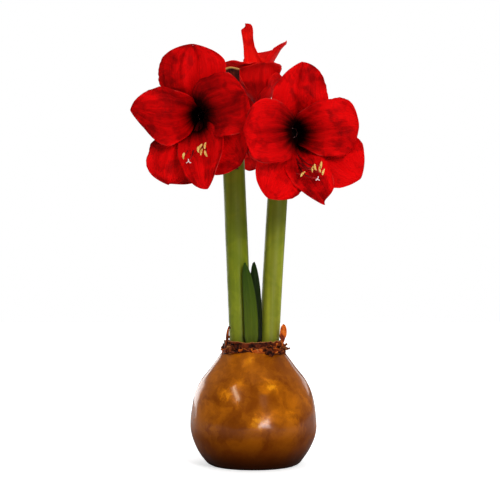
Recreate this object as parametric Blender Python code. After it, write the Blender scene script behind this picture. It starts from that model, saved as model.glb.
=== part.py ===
"""Waxed amaryllis bulb in flower.

A bulb dipped in a thick coat of wax stands on its flat foot. Two flower stalks
rise from its neck, and each carries two large trumpet blooms. Two young leaves
stand in front of the stalks, and the torn papery scales of the neck stick out
above the wax.

The scene is in metres. The driving sizes are in millimetres and degrees, and
MM turns them into metres. The origin is the centre of the flat foot, +Z is up,
+X is to the right of the shown side, and that side faces -Y.
"""

import math

import bmesh
import bpy
from mathutils import Vector

MM = 0.001
GAP = 0.3
WELD = 0.01

# The coat of wax
WAX_WALL = 3.0
WAX_TURNS = 32
WAX_ROWS = 10
WAX_LIP = 1.2
# Radius and height along the outside of the wax, from the edge of the foot to the neck.
WAX_OUTLINE = (
    (40.0, 0.0),
    (44.5, 3.0),
    (52.5, 14.5),
    (57.8, 28.0),
    (59.2, 41.0),
    (56.0, 61.0),
    (49.0, 78.0),
    (38.5, 92.0),
    (30.6, 103.0),
)

# The bulb inside it, with the holes that its stalks and leaves grow from
NECK_RADIUS = 26.0
NECK_TOP = 107.0
SHOULDER_DROP = 1.5
ROOT_DEPTH = 24.0
HOLE_SIDES = 20

# The torn ring of papery scales on the rim of the wax
COLLAR_WALL = 1.6
COLLAR_RADIUS = 27.8
COLLAR_TURNS = 38
COLLAR_ROWS = 2
COLLAR_BULGE = 0.9
COLLAR_WAVE = 0.35
COLLAR_HEIGHT = 10.5
# Ragged waves of the torn edge: how many round the ring, their height and their start.
COLLAR_RAGS = ((5, 1.3, 0.4), (11, 0.8, 0.0))
# Side in degrees, rise and spread in degrees of each tongue left on the torn edge.
COLLAR_TONGUES = ((-22.0, 15.0, 9.0), (205.0, 12.0, 8.0), (60.0, 6.0, 12.0), (130.0, 8.0, 10.0))

# The flower stalks: foot (x, y), bend and top (x, y, z), and radius
LEFT_STALK = dict(foot=(-11.9, 0.0), bend=(-15.4, 0.0, 200.0), top=(-19.0, 1.0, 287.0), radius=10.4)
RIGHT_STALK = dict(foot=(14.5, 0.0), bend=(18.8, 0.0, 190.0), top=(24.0, 1.0, 274.0), radius=9.4)
STALK_ROWS = 7
STALK_ROUNDNESS = 4
# Height above the top of the stalk and share of its radius, along its domed end.
STALK_DOME = ((3.0, 0.85), (5.0, 0.5))
STALKLET_RADIUS = 3.4
STALKLET_ROUNDNESS = 2
STALKLET_FLARE = (1.3, 1.1)
OVARY_LENGTH = 15.0
OVARY_RADIUS = 4.9
# Share of the ovary's length and of its radius, from the stalklet to the flower.
OVARY_OUTLINE = ((0.25, 0.85), (0.6, 1.0), (0.9, 0.97), (1.0, 0.93))

# The young leaves: centre of the root (x, y), half width, lean of the tip (x, y), and height
LEAF_FRONT = dict(name="leaf_front", root=(-1.9, -14.8), width=6.5, lean=(-6.3, -1.0), height=188.0)
LEAF_BACK = dict(name="leaf_back", root=(2.2, -10.1), width=5.6, lean=(-2.1, -0.4), height=188.5)
LEAVES = (LEAF_FRONT, LEAF_BACK)
LEAF_GRID = (13, 4)
LEAF_THICKNESS = 2.2
LEAF_ROOT_WIDTH = 5.4
LEAF_ROOT_TOP = 112.0
LEAF_FOLD = 1.6

# The withered bracts: the umbel each one clasps, the side it stands on, and its length
BRACTS = (
    dict(name="bract_left_rear", stalk=LEFT_STALK, side=120.0, length=42.0),
    dict(name="bract_left_front", stalk=LEFT_STALK, side=250.0, length=36.0),
    dict(name="bract_right_side", stalk=RIGHT_STALK, side=0.0, length=40.0),
    dict(name="bract_right_front", stalk=RIGHT_STALK, side=225.0, length=34.0),
)
BRACT_GRID = (7, 4)
BRACT_WIDTH = 8.0
BRACT_THICKNESS = 0.8
BRACT_ROOT_DROP = 12.0
BRACT_CURL = 0.30

# The petals, or tepals: lengths in millimetres, u runs from root to tip and v from -1 to 1 across
TEPAL_THICKNESS = 0.9
FRONT_GRID = (9, 4)
BACK_GRID = (7, 4)
TUBE_ANGLE = 16.0
TUBE_END = 0.25
FLARE_END = 0.80
ROOT_HEIGHT = 1.5
ROOT_RADIUS = 4.2
ROOT_WIDTH = 5.0
ROOT_HOLD = 0.10
ROOT_TURNED = 0.50
WIDEST = 0.64
TIP_ROUNDNESS = 0.75
TIP_CLOSENESS = 1.5
WAVES = 2.0
WAVE_TWIST = 1.9
WAVE_EDGE = 1.6
KEEL_DEPTH = 1.0
KEEL_WIDTH = 0.2
LINE_STEPS = 120
# What sets the three outer tepals of a bloom apart from the three inner ones.
OUTER = dict(inset=0.0, lift=-2.5, hug=0.60, claw=1.0, cup=-0.1)
INNER = dict(inset=1.2, lift=2.5, hug=0.95, claw=1.2, cup=0.1)

# The short solid tube that holds a bloom's tepals together, and its stamens and style
TUBE_LENGTH = 8.0
TUBE_RADII = (4.6, 5.0, 5.4)
TUBE_ROUNDNESS = 4
FILAMENT_RADIUS = 0.7
STYLE_RADIUS = 0.8
FILAMENT_ROOT = (2.0, 5.0)
# Share of the tip's distance from the axis, and of its height, at the two bends of a filament.
FILAMENT_BENDS = ((0.22, 0.40), (0.80, 0.78))
FILAMENT_ROWS = 4
ANTHER_HALF = (1.3, 1.3, 3.4)
ANTHER_RISE = 1.0


def tepal(whorl, azimuth, length, width, flare, blunt, **more):
    """Driving sizes of one tepal: its side of the bloom, length, half width and flare.

    Its root may start at another side of the bloom than its free part has. A hook bends it sideways, a
    fold creases its middle, and a narrow of less than 1 draws its upper half in.
    """
    shape = dict(whorl, azimuth=azimuth, length=length, width=width, flare=flare, blunt=blunt)
    shape.update(side=0.0, ruffle=2.5, phase=azimuth / 40.0, root=azimuth, hook=0.0, fold=0.0)
    shape.update(opens=(TUBE_END, FLARE_END), widest=WIDEST, narrow=1.0)
    shape.update(more)
    return shape


# Each bloom: the base of its tube, the way it faces and its upper side, its tepals, and its
# stamens and style as (side of the bloom in degrees, distance from its axis, height along it).
BLOOM_FRONT_LEFT = dict(
    name="bloom_front_left",
    grid=FRONT_GRID,
    base=(-43.2, -12.0, 323.3),
    axis=(-0.29, -0.95, -0.03),
    up=(0, 0, 1),
    tepals=(
        tepal(OUTER, 86, 88.0, 32.0, 84, 4.0, fold=2.6, root=90),
        tepal(OUTER, 254, 94.5, 27.0, 84, 7.0, side=-1.0, lift=-5.0, root=210),
        tepal(OUTER, 318, 101.0, 31.0, 78, 2.6, lift=-5.0, root=330),
        tepal(INNER, 186, 80.6, 28.6, 75, 1.2, side=2.6, hook=-12.0, lift=4.5, claw=1.5, root=150),
        tepal(INNER, 18, 90.0, 28.5, 78, 7.0, side=-11.0, hook=3.5, lift=4.5, claw=3.4, root=33),
        tepal(INNER, 297, 103.0, 23.5, 82, 1.8, side=0.5, hook=-12.5, lift=-1.0, root=270),
    ),
    stamens=(
        (272, 39.4, 70), (292, 36.6, 66), (296, 40.1, 69),
        (303, 36.7, 66), (300, 43.9, 70), (294, 34, 60),
    ),
    style=(281, 44.3, 76),
)
BLOOM_FRONT_RIGHT = dict(
    name="bloom_front_right",
    grid=FRONT_GRID,
    base=(32.6, -20.0, 306.9),
    axis=(0.27, -0.95, 0.0),
    up=(0, 0, 1),
    tepals=(
        tepal(OUTER, 98, 85.0, 26.6, 84, 2.2, side=3.2, hook=-8.5, fold=1.6, root=80, claw=0.4),
        tepal(OUTER, 238, 104.0, 26.0, 82, 3.0, lift=-5.0, root=210),
        tepal(OUTER, 322, 95.5, 28.0, 80, 2.4, side=-3.2, lift=-5.0, root=324),
        tepal(INNER, 185.5, 99.5, 28.5, 74, 4.0, lift=5.0, claw=3.3, root=138, widest=0.70),
        tepal(INNER, 1, 74.5, 27.0, 74, 4.2, side=3.5, lift=6.0, claw=1.2, root=35),
        tepal(
            INNER, 278, 100.5, 21.5, 81, 1.9,
            side=-16.0, hook=21.5, lift=-4.5, cup=0.05, claw=1.9, root=270,
        ),
    ),
    stamens=(
        (260, 41.7, 62), (269, 37.1, 70), (271, 35.9, 73),
        (281, 34.2, 72), (279, 37.9, 70), (283, 40.6, 70),
    ),
    style=(272, 45.1, 77),
)
BLOOM_TOP = dict(
    name="bloom_top",
    grid=BACK_GRID,
    base=(8.2, 26.0, 331.7),
    axis=(-0.12, 0.14, 0.98),
    up=(0, 1, 0),
    tepals=(
        tepal(
            OUTER, 278, 58.0, 24.5, 110, 2.0,
            side=2.0, ruffle=1.5, claw=0.5, opens=(0.45, 1.05), widest=0.44, root=286,
        ),
        tepal(OUTER, 2, 41.0, 18.5, 96, 2.4, claw=0.35, opens=(0.35, 1.10)),
        tepal(OUTER, 168, 64.0, 20.0, 62, 2.4),
        tepal(INNER, 222, 62.0, 18.0, 74, 2.6),
        tepal(
            INNER, 47, 65.0, 27.0, 40, 12.0,
            side=-4.0, hook=-2.5, cup=-0.1, claw=0.6, ruffle=1.5, opens=(0.45, 1.15),
        ),
        tepal(INNER, 111.5, 94.3, 14.5, 4, 24.0, hook=-1.0, cup=1.2, ruffle=1.2, narrow=0.46),
    ),
    stamens=((200, 12, 44), (150, 10, 45), (250, 10, 42), (300, 9, 40), (90, 8, 45), (20, 10, 42)),
    style=(190, 16, 46),
)
BLOOM_REAR = dict(
    name="bloom_rear",
    grid=BACK_GRID,
    base=(-7.1, 30.0, 313.0),
    axis=(0.05, 0.99, 0.10),
    up=(0, 0, 1),
    tepals=(
        tepal(OUTER, 90, 66.0, 22.0, 56, 2.4, claw=1.2),
        tepal(OUTER, 210, 66.0, 22.0, 56, 2.4),
        tepal(OUTER, 330, 66.0, 22.0, 56, 2.4),
        tepal(INNER, 30, 64.0, 20.0, 54, 2.4),
        tepal(INNER, 150, 64.0, 20.0, 54, 2.4),
        tepal(INNER, 270, 68.0, 20.0, 58, 2.4),
    ),
    stamens=((262, 18, 62), (286, 16, 60), (296, 20, 58), (276, 14, 61), (304, 17, 57), (250, 20, 56)),
    style=(270, 24, 64),
)
BLOOMS = (BLOOM_FRONT_LEFT, BLOOM_FRONT_RIGHT, BLOOM_TOP, BLOOM_REAR)
SCAPES = (
    dict(name="scape_left", stalk=LEFT_STALK, blooms=(BLOOM_FRONT_LEFT, BLOOM_REAR)),
    dict(name="scape_right", stalk=RIGHT_STALK, blooms=(BLOOM_FRONT_RIGHT, BLOOM_TOP)),
)


# Shared arithmetic


def smooth(x, start, end):
    """0 before start, 1 after end, and an even S between them."""
    t = min(max((x - start) / (end - start), 0.0), 1.0)
    return t * t * (3.0 - 2.0 * t)


def mix(a, b, t):
    return a + (b - a) * t


def taper(u, sharpness, roundness):
    """Share of the full width at u, falling from 1 to 0 at the tip."""
    return max(1.0 - u**sharpness, 0.0) ** roundness


def spline(points, count):
    """Points along a smooth curve through the given ones."""
    ends = [2 * points[0] - points[1], *points, 2 * points[-1] - points[-2]]
    spans = len(points) - 1
    made = []
    for step in range(count + 1):
        place = spans * step / count
        span = min(int(place), spans - 1)
        t = place - span
        a, b, c, d = ends[span : span + 4]
        bend = 2 * a - 5 * b + 4 * c - d
        twist = 3 * b - a - 3 * c + d
        made.append(0.5 * (2 * b + (c - a) * t + bend * t**2 + twist * t**3))
    return made


# Shared ways to make a mesh


def clear_scene():
    for obj in list(bpy.data.objects):
        bpy.data.objects.remove(obj, do_unlink=True)


def material(name, colour, roughness):
    made = bpy.data.materials.new(name)
    made.use_nodes = True
    shader = made.node_tree.nodes["Principled BSDF"]
    shader.inputs["Base Color"].default_value = (*colour, 1.0)
    shader.inputs["Roughness"].default_value = roughness
    shader.inputs["Metallic"].default_value = 0.0
    return made


def add_object(name, mesh):
    obj = bpy.data.objects.new(name, mesh)
    bpy.context.scene.collection.objects.link(obj)
    return obj


def finish(obj, surface, sharp_degrees=40.0):
    """Gives a finished piece its material and smooth shading, with its sharp edges kept."""
    obj.data.materials.clear()
    obj.data.materials.append(surface)
    obj.data.shade_smooth()
    obj.data.set_sharp_from_angle(angle=math.radians(sharp_degrees))


def mesh_from(bm, name):
    bmesh.ops.recalc_face_normals(bm, faces=bm.faces)
    mesh = bpy.data.meshes.new(name)
    bm.to_mesh(mesh)
    bm.free()
    return mesh


def freeze(obj):
    """The object with its modifiers or its curve turned into a plain mesh."""
    bpy.context.view_layer.update()
    graph = bpy.context.evaluated_depsgraph_get()
    mesh = bpy.data.meshes.new_from_object(obj.evaluated_get(graph))
    name = obj.name
    bpy.data.objects.remove(obj, do_unlink=True)
    return add_object(name, mesh)


def turned(name, profile, turns):
    """A solid of revolution about Z from (radius, height) points that start and end on it."""
    bm = bmesh.new()
    ring = [bm.verts.new((r * MM, 0.0, z * MM)) for r, z in profile]
    edges = [bm.edges.new(pair) for pair in zip(ring, ring[1:])]
    bmesh.ops.spin(
        bm, geom=ring + edges, cent=(0, 0, 0), axis=(0, 0, 1),
        angle=math.tau, steps=turns, use_merge=True, use_duplicate=False,
    )
    bmesh.ops.remove_doubles(bm, verts=bm.verts, dist=WELD * MM)
    return add_object(name, mesh_from(bm, name))


def sweep(name, points, radii, roundness):
    """A round rod along the points, with a radius at each of them and closed ends."""
    curve = bpy.data.curves.new(name, "CURVE")
    curve.dimensions = "3D"
    curve.bevel_depth = 1.0
    curve.bevel_resolution = roundness
    curve.use_fill_caps = True
    line = curve.splines.new("POLY")
    line.points.add(len(points) - 1)
    for place, point, radius in zip(line.points, points, radii):
        place.co = (*(point * MM), 1.0)
        place.radius = radius * MM
    rod = freeze(add_object(name, curve))
    bm = bmesh.new()
    bm.from_mesh(rod.data)
    bmesh.ops.remove_doubles(bm, verts=bm.verts, dist=WELD * MM)
    bmesh.ops.recalc_face_normals(bm, faces=bm.faces)
    bm.to_mesh(rod.data)
    bm.free()
    return rod


def blade(name, grid, thickness, place, closeness=1.0):
    """A thin curved blade: place(u, v) puts a point at u along it and v across it.

    Over a closeness of 1, its rows lie closer together towards its tip.
    """
    bm = bmesh.new()
    bmesh.ops.create_grid(bm, x_segments=grid[0], y_segments=grid[1], size=1.0)
    bmesh.ops.triangulate(bm, faces=bm.faces, quad_method="FIXED")
    for vert in bm.verts:
        along = 1.0 - (0.5 - 0.5 * vert.co.x) ** closeness
        vert.co = place(along, vert.co.y) * MM
    bmesh.ops.remove_doubles(bm, verts=bm.verts, dist=10 * WELD * MM)
    mesh = bpy.data.meshes.new(name)
    bm.to_mesh(mesh)
    bm.free()
    obj = add_object(name, mesh)
    wall = obj.modifiers.new("Thickness", "SOLIDIFY")
    wall.thickness = thickness * MM
    wall.offset = 0.0
    return freeze(obj)


def islands(bm):
    """The groups of faces of a mesh that hang together."""
    waiting = set(bm.faces)
    found = []
    while waiting:
        group = set()
        border = [waiting.pop()]
        while border:
            face = border.pop()
            group.add(face)
            for near in (f for e in face.edges for f in e.link_faces if f in waiting):
                waiting.discard(near)
                border.append(near)
        found.append(group)
    return found


def keep_largest(mesh):
    """Fills the small pockets that a union seals and drops loose scraps."""
    bm = bmesh.new()
    bm.from_mesh(mesh)
    groups = sorted(islands(bm), key=lambda group: sum(f.calc_area() for f in group))
    spare = [face for group in groups[:-1] for face in group]
    bmesh.ops.delete(bm, geom=spare, context="FACES")
    bm.to_mesh(mesh)
    bm.free()


def fuse(body, others, solver):
    """One Boolean union of the body with every other object, which are then removed."""
    group = bpy.data.collections.new(body.name + "_pieces")
    bpy.context.scene.collection.children.link(group)
    for other in others:
        bpy.context.scene.collection.objects.unlink(other)
        group.objects.link(other)
    union = body.modifiers.new("Union", "BOOLEAN")
    union.operation = "UNION"
    union.operand_type = "COLLECTION"
    union.collection = group
    union.solver = solver
    made = freeze(body)
    keep_largest(made.data)
    for other in list(group.objects):
        bpy.data.objects.remove(other, do_unlink=True)
    bpy.data.collections.remove(group)
    return made


def cut(body, cutters):
    for number, cutter in enumerate(cutters):
        cutter.hide_render = True
        cutter.display_type = "WIRE"
        hole = body.modifiers.new(f"Hole{number}", "BOOLEAN")
        hole.operation = "DIFFERENCE"
        hole.object = cutter
        hole.solver = "EXACT"
    made = freeze(body)
    for cutter in cutters:
        bpy.data.objects.remove(cutter, do_unlink=True)
    return made


# Wax, bulb and papery neck


def wax_outline():
    """(radius, height) up the smooth outside of the wax, from the foot to the rim."""
    points = [Vector((r, z)) for r, z in WAX_OUTLINE]
    return [(point.x, point.y) for point in spline(points, WAX_ROWS)]


def build_wax_coat():
    """A cup of wax with a floor, open at the neck."""
    outer = wax_outline()
    rim_height = outer[-1][1]
    inner = [(r - WAX_WALL, z) for r, z in outer[2:-1:2]]
    profile = [(0.0, 0.0), *outer, (NECK_RADIUS + WAX_LIP, rim_height)]
    profile += [*reversed(inner), (outer[0][0] - WAX_WALL, WAX_WALL), (0.0, WAX_WALL)]
    return turned("wax_coat", profile, WAX_TURNS)


def build_bulb():
    """The bulb fills the coat, and its neck stands in the papery ring."""
    shrink = WAX_WALL + 2 * GAP
    outer = wax_outline()
    floor = WAX_WALL + GAP
    shoulder = outer[-1][1] - SHOULDER_DROP
    profile = [(0.0, floor), (outer[0][0] - shrink, floor)]
    profile += [(r - shrink, z) for r, z in outer[2:-1:2]]
    profile += [(NECK_RADIUS, shoulder), (NECK_RADIUS, NECK_TOP), (0.0, NECK_TOP)]
    bulb = turned("bulb", profile, WAX_TURNS)
    holes = [stalk_hole(stalk) for stalk in (LEFT_STALK, RIGHT_STALK)]
    return cut(bulb, holes + [leaf_slot(leaf) for leaf in LEAVES])


def stalk_hole(stalk):
    bm = bmesh.new()
    radius = (stalk["radius"] + 2 * GAP) * MM
    bmesh.ops.create_cone(
        bm, cap_ends=True, segments=HOLE_SIDES, radius1=radius, radius2=radius,
        depth=2 * (ROOT_DEPTH + GAP) * MM,
    )
    bmesh.ops.translate(bm, vec=Vector((*stalk["foot"], NECK_TOP)) * MM, verts=bm.verts)
    return add_object("hole", mesh_from(bm, "hole"))


def leaf_slot(leaf):
    bm = bmesh.new()
    bmesh.ops.create_cube(bm, size=2.0)
    half = Vector((LEAF_ROOT_WIDTH + 2 * GAP, 0.5 * LEAF_THICKNESS + 2 * GAP, ROOT_DEPTH + GAP))
    bmesh.ops.scale(bm, vec=half * MM, verts=bm.verts)
    bmesh.ops.translate(bm, vec=Vector((*leaf["root"], NECK_TOP)) * MM, verts=bm.verts)
    return add_object("slot", mesh_from(bm, "slot"))


def torn_edge(angle):
    """Height of the papery neck at an angle round it."""
    edge = COLLAR_HEIGHT
    for count, height, start in COLLAR_RAGS:
        edge += height * math.sin(count * angle + start)
    for side, rise, spread in COLLAR_TONGUES:
        away = (angle - math.radians(side) + math.pi) % math.tau - math.pi
        edge += rise * math.exp(-((away / math.radians(spread)) ** 2))
    return edge


def build_papery_neck():
    """A ring of dry scales that stands on the rim of the wax, torn along its top."""
    foot = wax_outline()[-1][1] + GAP

    def place(u, v):
        angle = math.tau * u
        rise = 0.5 * (v + 1.0)
        radius = COLLAR_RADIUS + COLLAR_BULGE * math.sin(math.pi * rise)
        radius += COLLAR_WAVE * math.sin(7 * angle) * rise
        height = foot + rise * torn_edge(angle)
        return Vector((radius * math.cos(angle), radius * math.sin(angle), height))

    return blade("papery_neck", (COLLAR_TURNS, COLLAR_ROWS), COLLAR_WALL, place)


# Leaves and bracts


def build_leaf(leaf):
    """A young strap leaf: narrow at its root, folded a little along its middle."""
    foot = NECK_TOP - ROOT_DEPTH
    reach = leaf["height"] - LEAF_ROOT_TOP
    lean_x, lean_y = leaf["lean"]

    def place(u, v):
        z = mix(foot, leaf["height"], u)
        free = max((z - LEAF_ROOT_TOP) / reach, 0.0)
        width = mix(LEAF_ROOT_WIDTH, leaf["width"], smooth(free, 0.0, 0.12)) * taper(free, 3.0, 0.6)
        fold = LEAF_FOLD * smooth(free, 0.0, 0.3) * v * v * width / leaf["width"]
        x, y = leaf["root"]
        return Vector((x + lean_x * free**2.2 + v * width, y + lean_y * free**2 + fold, z))

    return blade(leaf["name"], LEAF_GRID, LEAF_THICKNESS, place)


def build_bract(bract):
    """A withered sheath leaf that clasps the top of its stalk and curls outwards."""
    stalk = bract["stalk"]
    length = bract["length"]
    side = math.radians(bract["side"])
    out = Vector((math.cos(side), math.sin(side), 0.0))
    along = Vector((-out.y, out.x, 0.0))
    rising = (Vector(stalk["top"]) - Vector(stalk["bend"])).normalized()
    reach = stalk["radius"] + 0.5 * BRACT_THICKNESS + 2 * GAP
    root = Vector(stalk["top"]) + out * reach - rising * BRACT_ROOT_DROP

    def place(u, v):
        across = v * BRACT_WIDTH * (1.0 - 0.15 * u) * taper(u, 3.0, 0.7)
        hug = across**2 / (2.0 * stalk["radius"]) * (1.0 - 0.6 * smooth(u, 0.2, 0.7))
        away = BRACT_CURL * length * u**2 - hug + BRACT_THICKNESS * math.sin(9.0 * u) * v
        return root + out * away + along * across + rising * length * (u - 0.12 * u**3)

    return blade(bract["name"], BRACT_GRID, BRACT_THICKNESS, place)


# Stalks


def build_scape(scape):
    """A stalk, the stalklets of its flowers and the ovary at the end of each."""
    stalk = scape["stalk"]
    radius = stalk["radius"]
    top = Vector(stalk["top"])
    foot = Vector((*stalk["foot"], NECK_TOP - ROOT_DEPTH))
    neck = Vector((*stalk["foot"], NECK_TOP + 2.0))
    line = [foot, *spline([neck, Vector(stalk["bend"]), top], STALK_ROWS - 1)]
    radii = [radius] * len(line)
    for rise, share in STALK_DOME:
        line.append(top + Vector((0.0, 0.0, rise)))
        radii.append(share * radius)
    body = sweep(scape["name"], line, radii, STALK_ROUNDNESS)
    return fuse(body, [stalklet(stalk, bloom) for bloom in scape["blooms"]], "EXACT")


def stalklet(stalk, bloom):
    """A short stalk that leaves the umbel and swells into the ovary behind its flower."""
    axis = bloom_frame(bloom)[0]
    end = Vector(bloom["base"]) - GAP * axis
    start = end - OVARY_LENGTH * axis
    root = Vector(stalk["top"]) - Vector((0.0, 0.0, 5.0))
    away = start - root
    shoulder = root + 0.25 * away + Vector((0.0, 0.0, 0.30 * away.length))
    line = spline([root, shoulder, start - 6.0 * axis, start], 6)
    radii = [STALKLET_RADIUS] * len(line)
    radii[:2] = [share * STALKLET_RADIUS for share in STALKLET_FLARE]
    for along, share in OVARY_OUTLINE:
        line.append(mix(start, end, along))
        radii.append(share * OVARY_RADIUS)
    return sweep("stalklet", line, radii, STALKLET_ROUNDNESS)


# Blooms


def bloom_frame(bloom):
    """The bloom's own directions: out along its axis, to its right and to its upper side."""
    axis = Vector(bloom["axis"]).normalized()
    up = Vector(bloom["up"])
    up = (up - up.dot(axis) * axis).normalized()
    return axis, up.cross(axis), up


def outward_at(bloom, degrees):
    """The directions away from the bloom's axis, and round it, at one side of the bloom."""
    axis, right, up = bloom_frame(bloom)
    turn = math.radians(degrees)
    outward = math.cos(turn) * right + math.sin(turn) * up
    return outward, axis.cross(outward)


def midrib(shape):
    """Lean from the bloom's axis, radius and height at even steps along a tepal's midrib."""
    line = []
    radius = ROOT_RADIUS - shape["inset"]
    height = ROOT_HEIGHT
    for step in range(LINE_STEPS + 1):
        bend = smooth(step / LINE_STEPS, *shape["opens"])
        lean = math.radians(mix(TUBE_ANGLE, shape["flare"], bend))
        line.append((lean, radius, height))
        radius += math.sin(lean) * shape["length"] / LINE_STEPS
        height += math.cos(lean) * shape["length"] / LINE_STEPS
    return line


def tepal_width(shape, u):
    """Half width at u: a narrow claw, widest past the middle, and a rounded point."""
    widest = shape["widest"]
    rise = mix(ROOT_WIDTH, shape["width"], smooth(u, 0.02, widest) ** shape["claw"])
    past = max(u - widest, 0.0) / (1.0 - widest)
    waist = mix(1.0, shape["narrow"], smooth(u, 0.50, 0.76))
    return rise * waist * taper(past, shape["blunt"], TIP_ROUNDNESS)


def tepal_place(bloom, shape):
    """The function that puts a point of the tepal at u along it and v across it."""
    axis = bloom_frame(bloom)[0]
    base = Vector(bloom["base"])
    line = midrib(shape)

    def place(u, v):
        lean, radius, height = line[round(u * LINE_STEPS)]
        turned_by = smooth(u, ROOT_HOLD, ROOT_TURNED)
        outward, sideways = outward_at(bloom, mix(shape["root"], shape["azimuth"], turned_by))
        face = math.sin(lean) * axis - math.cos(lean) * outward
        hug = mix(1.0, shape["hug"], smooth(u, 0.10, 0.35))
        curve = hug * math.cos(lean) / radius + shape["cup"] / shape["width"] * smooth(u, 0.3, 0.7)
        curve = curve or 1e-6
        width = tepal_width(shape, u)
        arc = v * width * curve
        wave = math.sin(math.tau * WAVES * u + shape["phase"] + WAVE_TWIST * v)
        keel = math.exp(-((v / KEEL_WIDTH) ** 2)) * smooth(u, 0.1, 0.4) * (1.0 - smooth(u, 0.8, 1.0))
        front = (1.0 - math.cos(arc)) / curve
        front += shape["ruffle"] * width / shape["width"] * abs(v) ** WAVE_EDGE * wave
        front += shape["lift"] * smooth(u, 0.10, 0.40) - KEEL_DEPTH * keel
        front -= shape["fold"] * math.exp(-(((v + 0.06) / KEEL_WIDTH) ** 2)) * smooth(u, 0.3, 0.6)
        across = math.sin(arc) / curve + shape["side"] * smooth(u, 0.2, 1.0) * u
        across += shape["hook"] * smooth(u, 0.45, 1.0) ** 2
        return base + height * axis + radius * outward + across * sideways + front * face

    return place


def filament_line(bloom, tip):
    """A filament leaves the throat, sinks towards the lower side and rises to its tip."""
    degrees, radius, height = tip
    axis = bloom_frame(bloom)[0]
    outward = outward_at(bloom, degrees)[0]
    places = [FILAMENT_ROOT]
    places += [(radius * out, height * along) for out, along in FILAMENT_BENDS]
    places.append((radius, height))
    base = Vector(bloom["base"])
    return spline([base + out * outward + along * axis for out, along in places], FILAMENT_ROWS)


def anther(place):
    bm = bmesh.new()
    bmesh.ops.create_icosphere(bm, subdivisions=1, radius=1.0)
    bmesh.ops.scale(bm, vec=Vector(ANTHER_HALF) * MM, verts=bm.verts)
    bmesh.ops.translate(bm, vec=(place + Vector((0.0, 0.0, ANTHER_RISE))) * MM, verts=bm.verts)
    return add_object("anther", mesh_from(bm, "anther"))


def build_bloom(bloom):
    """One trumpet bloom: tube, two whorls of three tepals, six stamens and a style."""
    axis = bloom_frame(bloom)[0]
    rows = [TUBE_LENGTH * step / (len(TUBE_RADII) - 1) for step in range(len(TUBE_RADII))]
    line = [Vector(bloom["base"]) + row * axis for row in rows]
    tube = sweep(bloom["name"], line, TUBE_RADII, TUBE_ROUNDNESS)
    pieces = []
    for shape in bloom["tepals"]:
        place = tepal_place(bloom, shape)
        pieces.append(blade("tepal", bloom["grid"], TEPAL_THICKNESS, place, TIP_CLOSENESS))
    for tip in bloom["stamens"]:
        line = filament_line(bloom, tip)
        pieces.append(sweep("filament", line, [FILAMENT_RADIUS] * len(line), 0))
        pieces.append(anther(line[-1]))
    line = filament_line(bloom, bloom["style"])
    pieces.append(sweep("style", line, [STYLE_RADIUS] * len(line), 0))
    return fuse(tube, pieces, "MANIFOLD")


def build():
    clear_scene()
    finish(build_wax_coat(), material("wax", (0.38, 0.12, 0.02), 0.3))
    finish(build_bulb(), material("bulb_flesh", (0.45, 0.36, 0.20), 0.6))
    finish(build_papery_neck(), material("dry_scales", (0.16, 0.05, 0.02), 0.7))
    leaf_green = material("leaf_green", (0.06, 0.11, 0.02), 0.5)
    dry_bract = material("dry_bract", (0.30, 0.16, 0.07), 0.8)
    stalk_green = material("stalk_green", (0.14, 0.19, 0.02), 0.5)
    petal_red = material("petal_red", (0.55, 0.01, 0.01), 0.45)
    for leaf in LEAVES:
        finish(build_leaf(leaf), leaf_green)
    for bract in BRACTS:
        finish(build_bract(bract), dry_bract)
    for scape in SCAPES:
        finish(build_scape(scape), stalk_green)
    for bloom in BLOOMS:
        finish(build_bloom(bloom), petal_red)


build()
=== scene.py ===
# %% [markdown]
# # A waxed amaryllis bulb in flower
#
# An amaryllis can be sold ready to flower: its bulb is dipped in thick wax that keeps the water in, so
# it needs no pot and no soil. This lesson dresses such a plant piece by piece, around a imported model
# whose sizes are fixed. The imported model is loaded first, and every fine piece is then made in its frame.

import math
import random

import bmesh
import bpy
from mathutils import Matrix, Quaternion, Vector, noise


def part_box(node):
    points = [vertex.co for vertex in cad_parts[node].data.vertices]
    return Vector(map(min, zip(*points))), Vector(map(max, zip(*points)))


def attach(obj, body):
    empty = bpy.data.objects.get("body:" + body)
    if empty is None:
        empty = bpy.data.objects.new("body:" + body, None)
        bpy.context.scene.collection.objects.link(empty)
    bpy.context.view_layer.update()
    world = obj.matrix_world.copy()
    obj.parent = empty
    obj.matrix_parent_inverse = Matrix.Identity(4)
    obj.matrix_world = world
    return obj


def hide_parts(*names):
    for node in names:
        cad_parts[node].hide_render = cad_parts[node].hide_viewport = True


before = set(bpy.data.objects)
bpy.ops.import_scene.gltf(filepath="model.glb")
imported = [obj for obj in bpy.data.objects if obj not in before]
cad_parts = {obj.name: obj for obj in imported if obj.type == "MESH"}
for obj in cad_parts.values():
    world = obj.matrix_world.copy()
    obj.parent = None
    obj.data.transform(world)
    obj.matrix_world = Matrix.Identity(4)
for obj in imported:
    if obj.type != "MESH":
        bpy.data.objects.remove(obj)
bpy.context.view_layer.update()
print("nodes to dress:", ", ".join(sorted(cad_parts)))

# %% [markdown]
# ## The camera
#
# The plant was photographed from straight ahead, from about half its own height, with a long lens. A
# level camera keeps the two stalks from leaning together, so it only has to stand at the right height.

# %% Place the camera
FOCAL_LENGTH = 100.0
SENSOR_WIDTH = 36.0
CAMERA_PLACE = (-0.0033, -1.3, 0.2)


def add_to_scene(name, data):
    """A new object at the origin, unturned and unscaled."""
    thing = bpy.data.objects.new(name, data)
    bpy.context.scene.collection.objects.link(thing)
    return thing


lens = bpy.data.cameras.new("camera")
lens.lens = FOCAL_LENGTH
lens.sensor_width = SENSOR_WIDTH
camera = add_to_scene("camera", lens)
camera.location = CAMERA_PLACE
camera.rotation_euler = (math.radians(90.0), 0.0, 0.0)
bpy.context.scene.camera = camera
print("camera stands", -CAMERA_PLACE[1], "m in front of the plant")

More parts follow.
